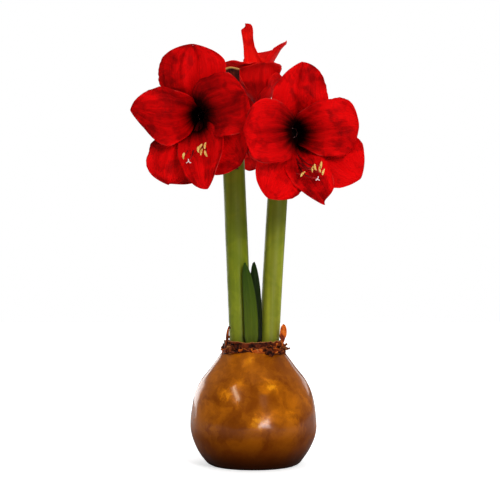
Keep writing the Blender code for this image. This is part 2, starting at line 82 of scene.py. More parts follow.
# %% [markdown]
# ## Arithmetic that the shapes share
#
# Leaves and petals are the same kind of thing to a modeller: a flat strip that is moved, point by point,
# to where a formula says. So the lesson needs a few small functions before any piece: an even step, a
# mix, a smooth line through a few points, and an unevenness that is the same in every run. Sizes are in
# millimetres, and MM turns them into metres at the last moment.

# %% Shared arithmetic
MM = 0.001
UP = Vector((0.0, 0.0, 1.0))


def smooth(x, start, end):
    """0 before start, 1 after end, and an even S between them."""
    t = min(max((x - start) / (end - start), 0.0), 1.0)
    return t * t * (3.0 - 2.0 * t)


def mix(a, b, t):
    """From a to b as t goes from 0 to 1."""
    return a + (b - a) * t


def bump_at(x, centre, width):
    """1 at the centre, and evenly down to nothing on both sides."""
    return math.exp(-(((x - centre) / width) ** 2))


def uneven(*place):
    """A smooth unevenness between about -1 and 1, the same in every run."""
    return noise.noise(Vector(place))


def curve_through(points, count):
    """Points along a smooth curve through the given ones."""
    ends = [2 * points[0] - points[1], *points, 2 * points[-1] - points[-2]]
    spans = len(points) - 1
    made = []
    for step in range(count + 1):
        place = spans * step / count
        span = min(int(place), spans - 1)
        t = place - span
        a, b, c, d = ends[span : span + 4]
        squared = (2 * a - 5 * b + 4 * c - d) * t**2
        cubed = (3 * b - a - 3 * c + d) * t**3
        made.append(0.5 * (2 * b + (c - a) * t + squared + cubed))
    return made


print("one unit of the shapes is", MM, "m")

# %% [markdown]
# ## Ways to put a finish together
#
# A finish is a small network of nodes that ends in one Principled shader. The helpers add one node each
# and return its output, so that a finish reads like a sentence. Colours are written as they look on a
# screen, from 0 to 255, and turned into the shader's linear ones.

# %% Colours, inputs and places


def shade(red, green, blue):
    """A screen colour as the shader's linear one."""
    linear = []
    for part in (red, green, blue):
        part /= 255.0
        linear.append(part / 12.92 if part <= 0.04045 else ((part + 0.055) / 1.055) ** 2.4)
    return (*linear, 1.0)


def feed(tree, socket, source):
    """Fills an input with another node's output, or with a plain value."""
    if isinstance(source, bpy.types.NodeSocket):
        tree.links.new(source, socket)
    else:
        socket.default_value = source


def mark(tree, name):
    """What a point of the piece remembers under that name."""
    node = tree.nodes.new("ShaderNodeAttribute")
    node.attribute_name = name
    return node.outputs["Fac"]


def here(tree):
    """A point's place on the object."""
    return tree.nodes.new("ShaderNodeTexCoord").outputs["Object"]


def vector(tree, x=0.0, y=0.0, z=0.0):
    """Three values as one vector."""
    node = tree.nodes.new("ShaderNodeCombineXYZ")
    for name, source in zip("XYZ", (x, y, z)):
        feed(tree, node.inputs[name], source)
    return node.outputs["Vector"]


def axes(tree, source):
    """A vector as three values."""
    node = tree.nodes.new("ShaderNodeSeparateXYZ")
    feed(tree, node.inputs[0], source)
    return [node.outputs[name] for name in "XYZ"]


print("screen white is", shade(255, 255, 255)[0], "to a shader")

# %% Sums and steps


def sums(tree, operation, a, b=0.0, c=0.0):
    """One step of arithmetic on values or outputs."""
    node = tree.nodes.new("ShaderNodeMath")
    node.operation = operation
    for socket, source in zip(node.inputs, (a, b, c)):
        feed(tree, socket, source)
    return node.outputs["Value"]


def times(tree, a, b):
    """The product of two values or outputs."""
    return sums(tree, "MULTIPLY", a, b)


def stretched(tree, source, scale):
    """A place with each of its axes scaled, so that a pattern on it is stretched."""
    node = tree.nodes.new("ShaderNodeMapping")
    feed(tree, node.inputs["Vector"], source)
    node.inputs["Scale"].default_value = scale
    return node.outputs["Vector"]


def between(tree, source, low, high, start=0.0, end=1.0, way="SMOOTHSTEP"):
    """A soft step from start to end while the source goes from low to high."""
    node = tree.nodes.new("ShaderNodeMapRange")
    node.interpolation_type = way
    values = {"Value": source, "From Min": low, "From Max": high, "To Min": start, "To Max": end}
    for name, value in values.items():
        feed(tree, node.inputs[name], value)
    return node.outputs["Result"]


print("a soft step from 0 to 1 is at", smooth(0.25, 0.0, 1.0), "after a quarter of the way")

# %% Clouds, colours and bumps
# A Mix node has a set of sockets for each kind of data. These are the factor and the ones for colours.
MIX_INPUTS = (0, 6, 7)
MIX_RESULT = 2


def clouds(tree, source, scale, detail=3.0, roughness=0.55, distortion=0.0):
    """Noise between 0 and 1."""
    node = tree.nodes.new("ShaderNodeTexNoise")
    feed(tree, node.inputs["Vector"], source)
    values = {"Scale": scale, "Detail": detail, "Roughness": roughness, "Distortion": distortion}
    for name, value in values.items():
        feed(tree, node.inputs[name], value)
    return node.outputs["Fac"]


def ramp(tree, source, *stops):
    """A colour that runs through the stops, each a place from 0 to 1 and a colour."""
    node = tree.nodes.new("ShaderNodeValToRGB")
    feed(tree, node.inputs["Fac"], source)
    points = node.color_ramp.elements
    while len(points) < len(stops):
        points.new(1.0)
    for point, (place, colour) in zip(points, stops):
        point.position = place
        point.color = colour
    return node.outputs["Color"]


def blend(tree, amount, under, over):
    """The second colour laid over the first, by the amount."""
    node = tree.nodes.new("ShaderNodeMix")
    node.data_type = "RGBA"
    for number, source in zip(MIX_INPUTS, (amount, under, over)):
        feed(tree, node.inputs[number], source)
    return node.outputs[MIX_RESULT]


def relief(tree, height, distance, under=None):
    """Bumps of that many millimetres, on top of other bumps if there are any."""
    node = tree.nodes.new("ShaderNodeBump")
    node.inputs["Distance"].default_value = distance * MM
    feed(tree, node.inputs["Height"], height)
    if under:
        feed(tree, node.inputs["Normal"], under)
    return node.outputs["Normal"]


print("a colour mix reads the sockets", *MIX_INPUTS)

# %% Materials and shared groups


def new_finish(name, **constants):
    """A material, its node tree and the inputs of its shader, with the constant ones set."""
    finish = bpy.data.materials.new(name)
    finish.use_nodes = True
    inputs = finish.node_tree.nodes["Principled BSDF"].inputs
    for socket, value in constants.items():
        inputs[socket.replace("_", " ")].default_value = value
    return finish, finish.node_tree, inputs


def new_effect(name, inputs, outputs):
    """A group of nodes that several finishes share, with named inputs and outputs."""
    group = bpy.data.node_groups.new(name, "ShaderNodeTree")
    for way, sockets in (("INPUT", inputs), ("OUTPUT", outputs)):
        for label, kind in sockets.items():
            group.interface.new_socket(label, in_out=way, socket_type="NodeSocket" + kind)
    return group, group.nodes.new("NodeGroupInput").outputs, group.nodes.new("NodeGroupOutput").inputs


def use_effect(tree, group, **sources):
    """A shared effect placed in one finish, with its own inputs."""
    node = tree.nodes.new("ShaderNodeGroup")
    node.node_tree = group
    for label, source in sources.items():
        feed(tree, node.inputs[label], source)
    return node.outputs


print("helpers ready:", new_finish.__name__, new_effect.__name__, use_effect.__name__)

# %% [markdown]
# ## Light and floor
#
# The studio is a pale floor in front of white paper. The paper behind the plant gives it more light than
# the dark room in front, but is dimmed in reflections, which would veil the wax. The main soft box stands
# in front on the right, and a weaker one overhead. The wax shows a slanting warm streak, a low round
# spot and two bright rims, so four more boxes stand where a mirror would send them. They light the
# reflections alone, as a photographer's strip lights nearly do. The colours of red petals survive only
# in the plain Standard view.

# %% The paper behind the plant
STUDIO_WHITE = 1.0
PAPER_BEHIND = 0.85
ROOM_IN_FRONT = 0.11
MIRRORED = 0.10
IN_FRONT = 0.3
BEHIND = -0.6


def sees_camera(tree):
    """1 for what the camera itself sees, and 0 for light on its way from thing to thing."""
    return tree.nodes.new("ShaderNodeLightPath").outputs["Is Camera Ray"]


def build_world():
    """White for the camera. For light it is paper behind the plant and a dark room in front."""
    world = bpy.data.worlds.new("studio")
    bpy.context.scene.world = world
    world.use_nodes = True
    tree = world.node_tree
    way = tree.nodes.new("ShaderNodeNewGeometry").outputs["Incoming"]
    glossy = tree.nodes.new("ShaderNodeLightPath").outputs["Is Glossy Ray"]
    paper = between(tree, axes(tree, way)[1], IN_FRONT, BEHIND, ROOM_IN_FRONT, PAPER_BEHIND)
    dimmed = times(tree, paper, between(tree, glossy, 0.0, 1.0, 1.0, MIRRORED))
    sky = tree.nodes["Background"].inputs
    sky["Color"].default_value = (1.0, 1.0, 1.0, 1.0)
    feed(tree, sky["Strength"], between(tree, sees_camera(tree), 0.0, 1.0, dimmed, STUDIO_WHITE))


bpy.context.scene.view_settings.view_transform = "Standard"
build_world()
print("the paper gives", round(PAPER_BEHIND / ROOM_IN_FRONT, 1), "times the light of the room in front")

# %% The floor
FLOOR_SIZE = 2.5
FLOOR_WHITE = 0.9
FLOOR_GLOW = (0.60, 0.85)
FLOOR_FADE = (0.08, 0.50)


def mesh_from(name, bm):
    """A finished mesh, which takes the place of the shape that it was made from."""
    mesh = bpy.data.meshes.new(name)
    bm.to_mesh(mesh)
    bm.free()
    return mesh


def build_floor():
    """A pale floor. Away from the plant it glows for the camera, so that it runs into the paper behind."""
    bm = bmesh.new()
    bmesh.ops.create_grid(bm, x_segments=1, y_segments=1, size=FLOOR_SIZE)
    mesh = mesh_from("floor", bm)
    paper, tree, surface = new_finish("pale_floor", Roughness=0.9, Specular_IOR_Level=0.1)
    surface["Base Color"].default_value = (FLOOR_WHITE, FLOOR_WHITE, FLOOR_WHITE, 1.0)
    surface["Emission Color"].default_value = (1.0, 1.0, 1.0, 1.0)
    away = tree.nodes.new("ShaderNodeVectorMath")
    away.operation = "LENGTH"
    feed(tree, away.inputs[0], here(tree))
    fade = between(tree, away.outputs["Value"], *FLOOR_FADE, *FLOOR_GLOW, way="LINEAR")
    feed(tree, surface["Emission Strength"], times(tree, sees_camera(tree), fade))
    mesh.materials.append(paper)
    add_to_scene("floor", mesh)


build_floor()
print("the floor is", 2 * FLOOR_SIZE, "m wide")

# %% The soft boxes
AIM = Vector((0.0, 0.0, 0.30))
WAX_AIM = Vector((0.0, 0.0, 0.06))
# Name, place, width and height, power, aim, roll in degrees and colour.
DAYLIGHT = (
    ("main_softbox", (0.48, -1.34, 0.85), (0.45, 0.45), 12.1, AIM),
    ("overhead_softbox", (0.1, -0.2, 1.6), (1.2, 1.2), 6.5, AIM),
)
STRIP_LIGHTS = (
    ("streak_softbox", (-0.78, -1.04, 1.05), (0.12, 0.84), 6.0, WAX_AIM, 40.0, (1.0, 0.80, 0.56)),
    ("spot_softbox", (0.62, -1.58, 0.05), (0.66, 0.30), 13.0, WAX_AIM),
    ("left_rim_softbox", (-0.66, 1.00, 0.20), (0.60, 0.34), 2.2, WAX_AIM),
    ("right_rim_softbox", (0.66, 1.05, 0.30), (0.40, 0.24), 0.5, WAX_AIM),
)


def add_softbox(name, place, size, power, aim, roll=0.0, colour=(1.0, 1.0, 1.0)):
    """A rectangular light that faces its aim and is rolled about that line."""
    light = bpy.data.lights.new(name, "AREA")
    light.shape = "RECTANGLE"
    light.size, light.size_y = size
    light.energy = power
    light.color = colour
    box = add_to_scene(name, light)
    box.location = place
    rolled = Quaternion((0.0, 0.0, 1.0), math.radians(roll))
    turn = (aim - box.location).to_track_quat("-Z", "Y") @ rolled
    box.rotation_euler = turn.to_euler()
    return box


for light in DAYLIGHT:
    add_softbox(*light).visible_glossy = False
for light in STRIP_LIGHTS:
    strip_light = add_softbox(*light)
    strip_light.visible_diffuse = False
    strip_light.visible_camera = False
print("soft boxes:", len(DAYLIGHT), "for the light and", len(STRIP_LIGHTS), "for reflections")

# %% [markdown]
# ## Three ways to make a shape
#
# A sheet is a flat grid bent by a formula, with a Solidify modifier for its thickness: petals, leaves and
# dry scales. A rod is a ring that is extruded along a line, turned and resized on the way: stalks,
# filaments and styles. A turned shape is an outline that spins round the plant's axis: the wax. A sheet
# also remembers how far along and across each point lies, and a rod how far along, for the finishes to
# follow.

# %% A sheet
WELD = 0.00001
MARKS = ("along", "across", "depth")


def new_shape():
    """An empty mesh whose points can remember their place on the piece."""
    bm = bmesh.new()
    for label in MARKS:
        bm.verts.layers.float.new(label)
    return bm


def sheet(grid, place, closeness=1.0, depth=None):
    """A grid moved to place(u, v): u runs from root to tip, and v from -1 to 1 across.

    Over a closeness of 1 its rows lie closer together towards the tip. depth(point) gives the third mark.
    """
    bm = new_shape()
    along, across, deep = (bm.verts.layers.float[label] for label in MARKS)
    bmesh.ops.create_grid(bm, x_segments=grid[0], y_segments=grid[1], size=1.0)
    for vert in bm.verts:
        u = 1.0 - (0.5 - 0.5 * vert.co.x) ** closeness
        vert[along] = u
        vert[across] = vert.co.y
        point = place(u, vert.co.y)
        vert[deep] = depth(point) if depth else 0.0
        vert.co = point * MM
    bmesh.ops.remove_doubles(bm, verts=bm.verts, dist=WELD)
    return bm


print("points closer than", WELD / MM, "mm are joined")

# %% A rod


def extrude_rod(bm, line, radii, sides):
    """Extrudes a ring along a line of points, turns it with the line and resizes it on the way."""
    along = bm.verts.layers.float["along"]
    heading = (line[1] - line[0]).normalized()
    start = Matrix.Translation(line[0] * MM) @ heading.to_track_quat("Z", "Y").to_matrix().to_4x4()
    made = bmesh.ops.create_circle(bm, cap_ends=True, radius=radii[0] * MM, segments=sides, matrix=start)
    ring = made["verts"]
    edges = list({edge for vert in ring for edge in vert.link_edges})
    everything = list(ring)
    for step in range(1, len(line)):
        grown = bmesh.ops.extrude_edge_only(bm, edges=edges)["geom"]
        ring = [part for part in grown if isinstance(part, bmesh.types.BMVert)]
        edges = [part for part in grown if isinstance(part, bmesh.types.BMEdge)]
        after = line[min(step + 1, len(line) - 1)] - line[step - 1]
        turn = heading.rotation_difference(after.normalized())
        heading = after.normalized()
        bmesh.ops.translate(bm, verts=ring, vec=(line[step] - line[step - 1]) * MM)
        bmesh.ops.rotate(bm, verts=ring, cent=line[step] * MM, matrix=turn.to_matrix())
        size = radii[step] / radii[step - 1]
        centre = Matrix.Translation(-line[step] * MM)
        bmesh.ops.scale(bm, verts=ring, vec=(size, size, size), space=centre)
        for vert in ring:
            vert[along] = step / (len(line) - 1)
        everything += ring
    bmesh.ops.contextual_create(bm, geom=edges)
    return everything


trial = new_shape()
extrude_rod(trial, [Vector((0.0, 0.0, height)) for height in range(4)], [1.0] * 4, 8)
print("a rod of 4 rings of 8 points has", len(trial.faces), "faces")
trial.free()

# %% A turned shape


def turned(profile, turns):
    """A closed shape of revolution from (radius, height) points that start and end on the axis."""
    bm = new_shape()
    ring = [bm.verts.new((radius * MM, 0.0, height * MM)) for radius, height in profile]
    edges = [bm.edges.new(pair) for pair in zip(ring, ring[1:])]
    bmesh.ops.spin(
        bm, geom=ring + edges, cent=(0, 0, 0), axis=(0, 0, 1),
        angle=math.tau, steps=turns, use_merge=True, use_duplicate=False,
    )
    bmesh.ops.remove_doubles(bm, verts=bm.verts, dist=WELD)
    return bm


trial = turned([(0.0, 0.0), (10.0, 0.0), (10.0, 5.0), (0.0, 5.0)], 24)
print("a drum turned in 24 steps has", len(trial.faces), "faces")
trial.free()

# %% From a mesh to a finished piece


def place_piece(name, bm, finishes, nodes=(), thickness=0.0, closed=True):
    """Turns a mesh into a finished piece that rides on the plant's one body."""
    if closed:
        bmesh.ops.recalc_face_normals(bm, faces=bm.faces)
    mesh = mesh_from(name, bm)
    mesh.shade_smooth()
    for finish in finishes:
        mesh.materials.append(finish)
    piece = add_to_scene(name, mesh)
    if thickness:
        wall = piece.modifiers.new("Thickness", "SOLIDIFY")
        wall.thickness = thickness * MM
        wall.offset = 0.0
        wall.material_offset = len(finishes) - 1
    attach(piece, "root")
    if nodes:
        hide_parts(*nodes)


# %% [markdown]
# ## Effects that several finishes share
#
# Everything here grew, so most surfaces have long fibres or veins, soft blotches and a fine grain. The
# veins follow the piece, from root to tip, so they read the marks that a sheet or rod carries. Blotches
# and grain lie in the material like clouds, so they read the place on the object.

# %% Build the shared effects
GRAIN_FINENESS = 22.0


def build_veins():
    """Broad and fine streaks from root to tip, for petals, leaves and dry scales."""
    inputs = {"Along": "Float", "Across": "Float", "Count": "Float", "Shift": "Vector"}
    outputs = {"Streak": "Float", "Vein": "Float"}
    group, given, made = new_effect("veins", inputs, outputs)
    lengthwise = times(group, given["Along"], 1.6)
    sideways = times(group, given["Across"], given["Count"])
    shift = group.nodes.new("ShaderNodeVectorMath")
    shift.operation = "ADD"
    feed(group, shift.inputs[0], vector(group, lengthwise, sideways))
    feed(group, shift.inputs[1], given["Shift"])
    place = shift.outputs["Vector"]
    feed(group, made["Streak"], between(group, clouds(group, place, 1.0, 3.0, 0.6), 0.34, 0.66))
    fine = clouds(group, stretched(group, place, (0.5, 3.5, 1.0)), 1.0, 2.0)
    feed(group, made["Vein"], between(group, fine, 0.36, 0.64))
    return group


def build_blotches():
    """Soft clouds, and a fine grain for the bumps."""
    inputs = {"Place": "Vector", "Scale": "Float"}
    group, given, made = new_effect("blotches", inputs, {"Blotch": "Float", "Grain": "Float"})
    cloud = clouds(group, given["Place"], given["Scale"], 4.0, 0.55, 0.6)
    feed(group, made["Blotch"], between(group, cloud, 0.36, 0.64))
    fine = times(group, given["Scale"], GRAIN_FINENESS)
    feed(group, made["Grain"], clouds(group, given["Place"], fine, 2.0))
    return group


VEINS = build_veins()
BLOTCHES = build_blotches()
print("shared effects:", VEINS.name, BLOTCHES.name)

# %% [markdown]
# ## The red of the petals
#
# An amaryllis petal is scarlet and velvety, which means that it hardly shines. It is darker in broad soft
# patches and along its veins, and both sides of its midrib get a painted shade of its crease. A painted
# shade makes it nearly black where the trumpet narrows into its throat, with a soft painted shadow round
# the black. Here and there its margin is a hair paler. The flower on top is painted brighter, for the
# light that shines through its petals. The outer face is brownish towards the tube. So one network makes
# all of these faces, with other colours for each. How deep a point lies in the throat is one of its marks.

# %% Build the petal finishes
THROAT = (23.0, 45.0)
TUBE = (14.0, 32.0)
SHADOW = 22.0
MARGIN = (0.965, 0.998)
VELVET_SHINE = 0.03
# The painted black of the throat, for the shade deep inside it.
PAINTED_THROAT_BLACK = shade(26, 0, 0)


def build_petal_finish(name, bright, deep, base, reach):
    """One face of a petal. Its base colour fades out between the two depths of its reach, in mm.

    On the inner faces that base colour is a painted black, for the shade deep in the throat.
    """
    finish, tree, surface = new_finish(name, Specular_IOR_Level=VELVET_SHINE)
    place = here(tree)
    along, across, depth = (mark(tree, label) for label in MARKS)
    shift = stretched(tree, place, (9.0, 9.0, 9.0))
    veins = use_effect(tree, VEINS, Along=along, Across=across, Count=7.0, Shift=shift)
    spots = use_effect(tree, BLOTCHES, Place=place, Scale=85.0)
    # Half of the light and dark comes from broad patches, a third from blotches, the rest from streaks.
    patch = between(tree, clouds(tree, place, 30.0, 3.0, 0.5, 0.8), 0.38, 0.60)
    light = sums(tree, "MULTIPLY_ADD", patch, 0.52, times(tree, spots["Blotch"], 0.32))
    light = sums(tree, "MULTIPLY_ADD", veins["Streak"], 0.16, light)
    red = ramp(tree, light, (0.05, deep), (0.66, bright))
    # The veins are a little darker. Both sides of the midrib get a painted shade of its crease, less and less
    # to the tip.
    red = blend(tree, times(tree, veins["Vein"], 0.13), red, deep)
    crease_shade = between(tree, sums(tree, "ABSOLUTE", across), 0.02, 0.16, 1.0, 0.0)
    faded = between(tree, along, 0.45, 0.92, 0.45, 0.0)
    red = blend(tree, times(tree, crease_shade, faded), red, deep)
    # The margin is a little paler in patches that clouds give.
    rim = between(tree, sums(tree, "ABSOLUTE", across), *MARGIN)
    worn = between(tree, clouds(tree, place, 70.0, 2.0), 0.48, 0.66, 0.0, 0.35)
    red = blend(tree, times(tree, rim, worn), red, shade(236, 84, 76))
    # A painted shadow lies round the throat, and inside it the base colour: on the inner faces a painted
    # black for the throat's shade. Streaks and veins fray the edges of both by some mm.
    streaked = sums(tree, "MULTIPLY_ADD", veins["Streak"], 3.5, depth)
    streaked = sums(tree, "MULTIPLY_ADD", veins["Vein"], 2.0, streaked)
    shadow = between(tree, streaked, reach[0], reach[1] + SHADOW, 0.7, 0.0)
    red = blend(tree, shadow, red, deep)
    throat_shade = between(tree, streaked, *reach, 1.0, 0.0)
    feed(tree, surface["Base Color"], blend(tree, throat_shade, red, base))
    feed(tree, surface["Roughness"], between(tree, spots["Blotch"], 0.0, 1.0, 0.5, 0.7))
    rough = relief(tree, spots["Grain"], 0.08)
    feed(tree, surface["Normal"], relief(tree, veins["Vein"], 0.20, rough))
    return finish


petal_face = build_petal_finish("petal_face", shade(238, 6, 8), shade(132, 0, 2), PAINTED_THROAT_BLACK, THROAT)
# The flower on top gets a lit copy of the face, painted brighter for the light that shines through its
# petals.
backlit_face = build_petal_finish("backlit_face", shade(254, 26, 18), shade(212, 8, 8), PAINTED_THROAT_BLACK, THROAT)
petal_back = build_petal_finish("petal_back", shade(238, 14, 14), shade(150, 4, 6), shade(92, 24, 14), TUBE)
print("petal finishes:", petal_face.name, backlit_face.name, petal_back.name)

# %% [markdown]
# ## One petal
#
# An amaryllis flower has six petals in two whorls, the outer three behind the inner three. Each rises
# from the throat as a narrow claw, hugs the trumpet, then flares out flat and wide with a waved margin. A
# petal could be sculpted, but a formula keeps all of them related: its midrib leans from the flower's
# axis by an angle that grows along it, and its width curls round that midrib. Small crimps and dents
# make each one different.

# %% Describe a petal
TUBE_ANGLE = 16.0
TUBE_END = 0.25
FLARE_END = 0.80
ROOT_HEIGHT = 1.5
ROOT_RADIUS = 4.2
ROOT_WIDTH = 5.0
WIDEST = 0.64
TIP_ROUNDNESS = 0.75
LINE_STEPS = 240
# Every petal starts from these values. Its whorl and its own row in the list change some of them.
# side and hook move its tip sideways in mm, side all along and hook from its middle on. notch and slant
# are shares of its length that are missing, at the middle of its tip and at one side of it. fold is the
# depth of a crease beside the midrib, and ruffle the height of the waves, both in mm. narrow is the share
# of its width that is left past its middle. opens is where along it the flare starts and ends, and widest
# where it is widest. A petal's own reach of shade makes the painted black of the throat reach that many
# mm further on it.
PLAIN = dict(
    side=0.0, hook=0.0, notch=0.0, slant=0.0, fold=0.0, ruffle=2.5, narrow=1.0, stain=0.0,
    opens=(TUBE_END, FLARE_END), widest=WIDEST,
)
# inset is how much closer to the axis the whorl starts, and lift how far its petals stand in front of
# the trumpet's surface, in mm. hug is how closely they bend round the trumpet, and cup how their outer
# half curls across. With a claw over 1 they stay narrow for longer.
OUTER = dict(PLAIN, inset=0.0, lift=-2.5, hug=0.60, claw=1.0, cup=-0.1)
INNER = dict(PLAIN, inset=1.2, lift=2.5, hug=0.95, claw=1.2, cup=0.1)


def petal(whorl, azimuth, length, width, flare, blunt, **more):
    """Describes one petal.

    Its azimuth is the side of the flower that it spreads to, in degrees from the flower's right over its
    upper side. It leaves the throat at that side too, or at the side called root. Its width is half of
    what it measures across, its flare the lean from the flower's axis at its end in degrees, and a high
    blunt makes that end squarer.
    """
    own = dict(azimuth=azimuth, length=length, width=width, flare=flare, blunt=blunt, root=azimuth)
    return {**whorl, **own, **more}


print("an inner petal starts from", len(INNER), "values")

# %% Follow the midrib


def flower_frame(flower):
    """The flower's own directions: out along its axis, to its right and to its upper side."""
    axis = Vector(flower["axis"]).normalized()
    up = Vector(flower["up"])
    up = (up - up.dot(axis) * axis).normalized()
    return axis, up.cross(axis), up


def outward_at(flower, degrees):
    """The directions away from the flower's axis, and round it, at one side of the flower."""
    axis, right, up = flower_frame(flower)
    turn = math.radians(degrees)
    outward = math.cos(turn) * right + math.sin(turn) * up
    return outward, axis.cross(outward)


def midrib(shape):
    """Lean from the flower's axis, radius and height at even steps along a petal's midrib."""
    line = []
    radius = ROOT_RADIUS - shape["inset"]
    height = ROOT_HEIGHT
    for step in range(LINE_STEPS + 2):
        bend = smooth(step / LINE_STEPS, *shape["opens"])
        lean = math.radians(mix(TUBE_ANGLE, shape["flare"], bend))
        line.append(Vector((lean, radius, height)))
        radius += math.sin(lean) * shape["length"] / LINE_STEPS
        height += math.cos(lean) * shape["length"] / LINE_STEPS
    return line


print("a midrib is followed in", LINE_STEPS, "steps")

# %% Make a petal wide and uneven
WAVES = 2.0
WAVE_TWIST = 1.9
WAVE_EDGE = 1.6
WAVE_SHIFT = 40.0
CRIMP = 3.4
DENT = 2.6
PLEAT = 1.3
KEEL_DEPTH = 1.4
KEEL_WIDTH = 0.16
CREASE = (-0.06, 0.13)
BROAD_NICKS = 0.035
FINE_NICKS = 0.020


def petal_width(shape, u):
    """Half width at u: a narrow claw, widest past the middle, and a rounded point."""
    widest = shape["widest"]
    rise = mix(ROOT_WIDTH, shape["width"], smooth(u, 0.02, widest) ** shape["claw"])
    past = max(u - widest, 0.0) / (1.0 - widest)
    waist = mix(1.0, shape["narrow"], smooth(u, 0.50, 0.76))
    return rise * waist * max(1.0 - past ** shape["blunt"], 0.0) ** TIP_ROUNDNESS


def unevenness(shape, u, v):
    """How far the face stands out at a point: the waved margin, its crimps, pleats and dents."""
    seed = shape["azimuth"] * 0.37
    share = petal_width(shape, u) / shape["width"]
    open_part = smooth(u, 0.25, 0.6)
    wave = math.tau * WAVES * u + shape["azimuth"] / WAVE_SHIFT + WAVE_TWIST * v
    out = shape["ruffle"] * share * abs(v) ** WAVE_EDGE * math.sin(wave)
    out += CRIMP * share * abs(v) ** 6 * uneven(8.0 * u, 3.0 * v, seed) * open_part
    out += DENT * uneven(2.4 * u, 1.7 * v, seed + 9.0) * open_part * share
    out += PLEAT * uneven(0.9 * u, 5.5 * v, seed + 4.0) * smooth(u, 0.15, 0.4) * share
    keel = bump_at(v, 0.0, KEEL_WIDTH) * smooth(u, 0.1, 0.4) * (1.0 - smooth(u, 0.8, 1.0))
    crease = shape["fold"] * bump_at(v, *CREASE) * smooth(u, 0.3, 0.6)
    return out - KEEL_DEPTH * keel - crease


def nicks(shape, u, v):
    """A width that is a little uneven, on each margin in its own way."""
    seed = shape["azimuth"] * 0.61
    nick = BROAD_NICKS * uneven(11.0 * u, 4.0 if v > 0 else -4.0, seed) * smooth(u, 0.3, 0.5)
    nick += FINE_NICKS * uneven(31.0 * u, 9.0 if v > 0 else -9.0, seed) * smooth(u, 0.4, 0.6)
    return 1.0 + nick


print("the margin has", WAVES, "waves")

# %% Put the points of a petal in place
ROOT_HOLD = 0.10
ROOT_TURNED = 0.50
# The least curve of a petal across, since one without any would divide by nothing.
STRAIGHT = 1e-6


def petal_place(flower, shape):
    """The function that puts a point of the petal at u along it and v across it."""
    axis = flower_frame(flower)[0]
    base = Vector(flower["base"])
    line = midrib(shape)

    def place(u, v):
        # A notch or a slant pulls the point back along the midrib.
        short = shape["notch"] * bump_at(v, 0.0, 0.3) * smooth(u, 0.85, 1.0)
        short += shape["slant"] * (0.5 + 0.5 * v)
        reach = u * (1.0 - short) * LINE_STEPS
        step = int(reach)
        lean, radius, height = line[step].lerp(line[step + 1], reach - step)
        # The petal leaves the throat at the side of its root and turns to its own on the way.
        turned_by = smooth(u, ROOT_HOLD, ROOT_TURNED)
        outward, sideways = outward_at(flower, mix(shape["root"], shape["azimuth"], turned_by))
        face = math.sin(lean) * axis - math.cos(lean) * outward
        # Across, it bends round the trumpet as long as that is narrow, and by its own cup further out.
        hug = mix(1.0, shape["hug"], smooth(u, 0.10, 0.35))
        curve = hug * math.cos(lean) / radius + shape["cup"] / shape["width"] * smooth(u, 0.3, 0.7)
        curve = curve or STRAIGHT
        width = petal_width(shape, u) * nicks(shape, u, v)
        arc = v * width * curve
        front = (1.0 - math.cos(arc)) / curve + shape["lift"] * smooth(u, 0.10, 0.40)
        front += unevenness(shape, u, v)
        across = math.sin(arc) / curve + shape["side"] * smooth(u, 0.2, 1.0) * u
        across += shape["hook"] * smooth(u, 0.45, 1.0) ** 2
        return base + height * axis + radius * outward + across * sideways + front * face

    return place


print("a petal has turned to its side at", ROOT_TURNED, "of its length")

# %% [markdown]
# ## The four flowers
#
# The left stalk carries the flower that faces the camera on the left and one behind it. The right stalk
# carries the one on the right and the one on top, which is seen from its side. The petals have the sizes
# of the imported model, give or take two millimetres. Each stamen is given by its side of the flower, its
# distance from the axis, its height along the axis and the tilt of its anther. The middle of the painted
# black that stands for the shade in the throat is moved by what is called dark, and the stamens sink by
# their sag.

# %% List the two flowers in front
FLOWER_FRONT_LEFT = dict(
    name="bloom_front_left",
    base=(-43.2, -12.0, 323.3),
    axis=(-0.29, -0.95, -0.03),
    up=(0, 0, 1),
    dark=(7.0, 0.0, -4.0),
    petals=(
        petal(OUTER, 86, 88.0, 32.0, 84, 4.0, fold=2.6, notch=0.02, root=90),
        petal(OUTER, 254, 94.5, 27.0, 84, 7.0, side=-1.0, lift=-5.0, root=210, slant=0.02),
        petal(OUTER, 318, 101.0, 31.0, 78, 2.6, lift=-5.0, root=330, stain=16),
        petal(INNER, 186, 80.2, 28.6, 75, 1.2, side=2.6, hook=-12.0, lift=4.5, claw=1.5, root=150, stain=7),
        petal(INNER, 18, 90.0, 28.5, 78, 7.0, side=-11.0, hook=3.5, lift=4.5, claw=3.4, root=33, stain=28),
        petal(INNER, 297, 103.0, 23.5, 82, 1.8, side=0.5, hook=-12.5, lift=-1.0, root=270, stain=22),
    ),
    stamens=(
        (272, 39.4, 70, 8), (292, 36.6, 66, -4), (296, 40.1, 69, 14),
        (303, 36.7, 66, 6), (300, 43.9, 70, -22), (294, 34, 60, 30),
    ),
    style=(281, 44.3, 76),
)
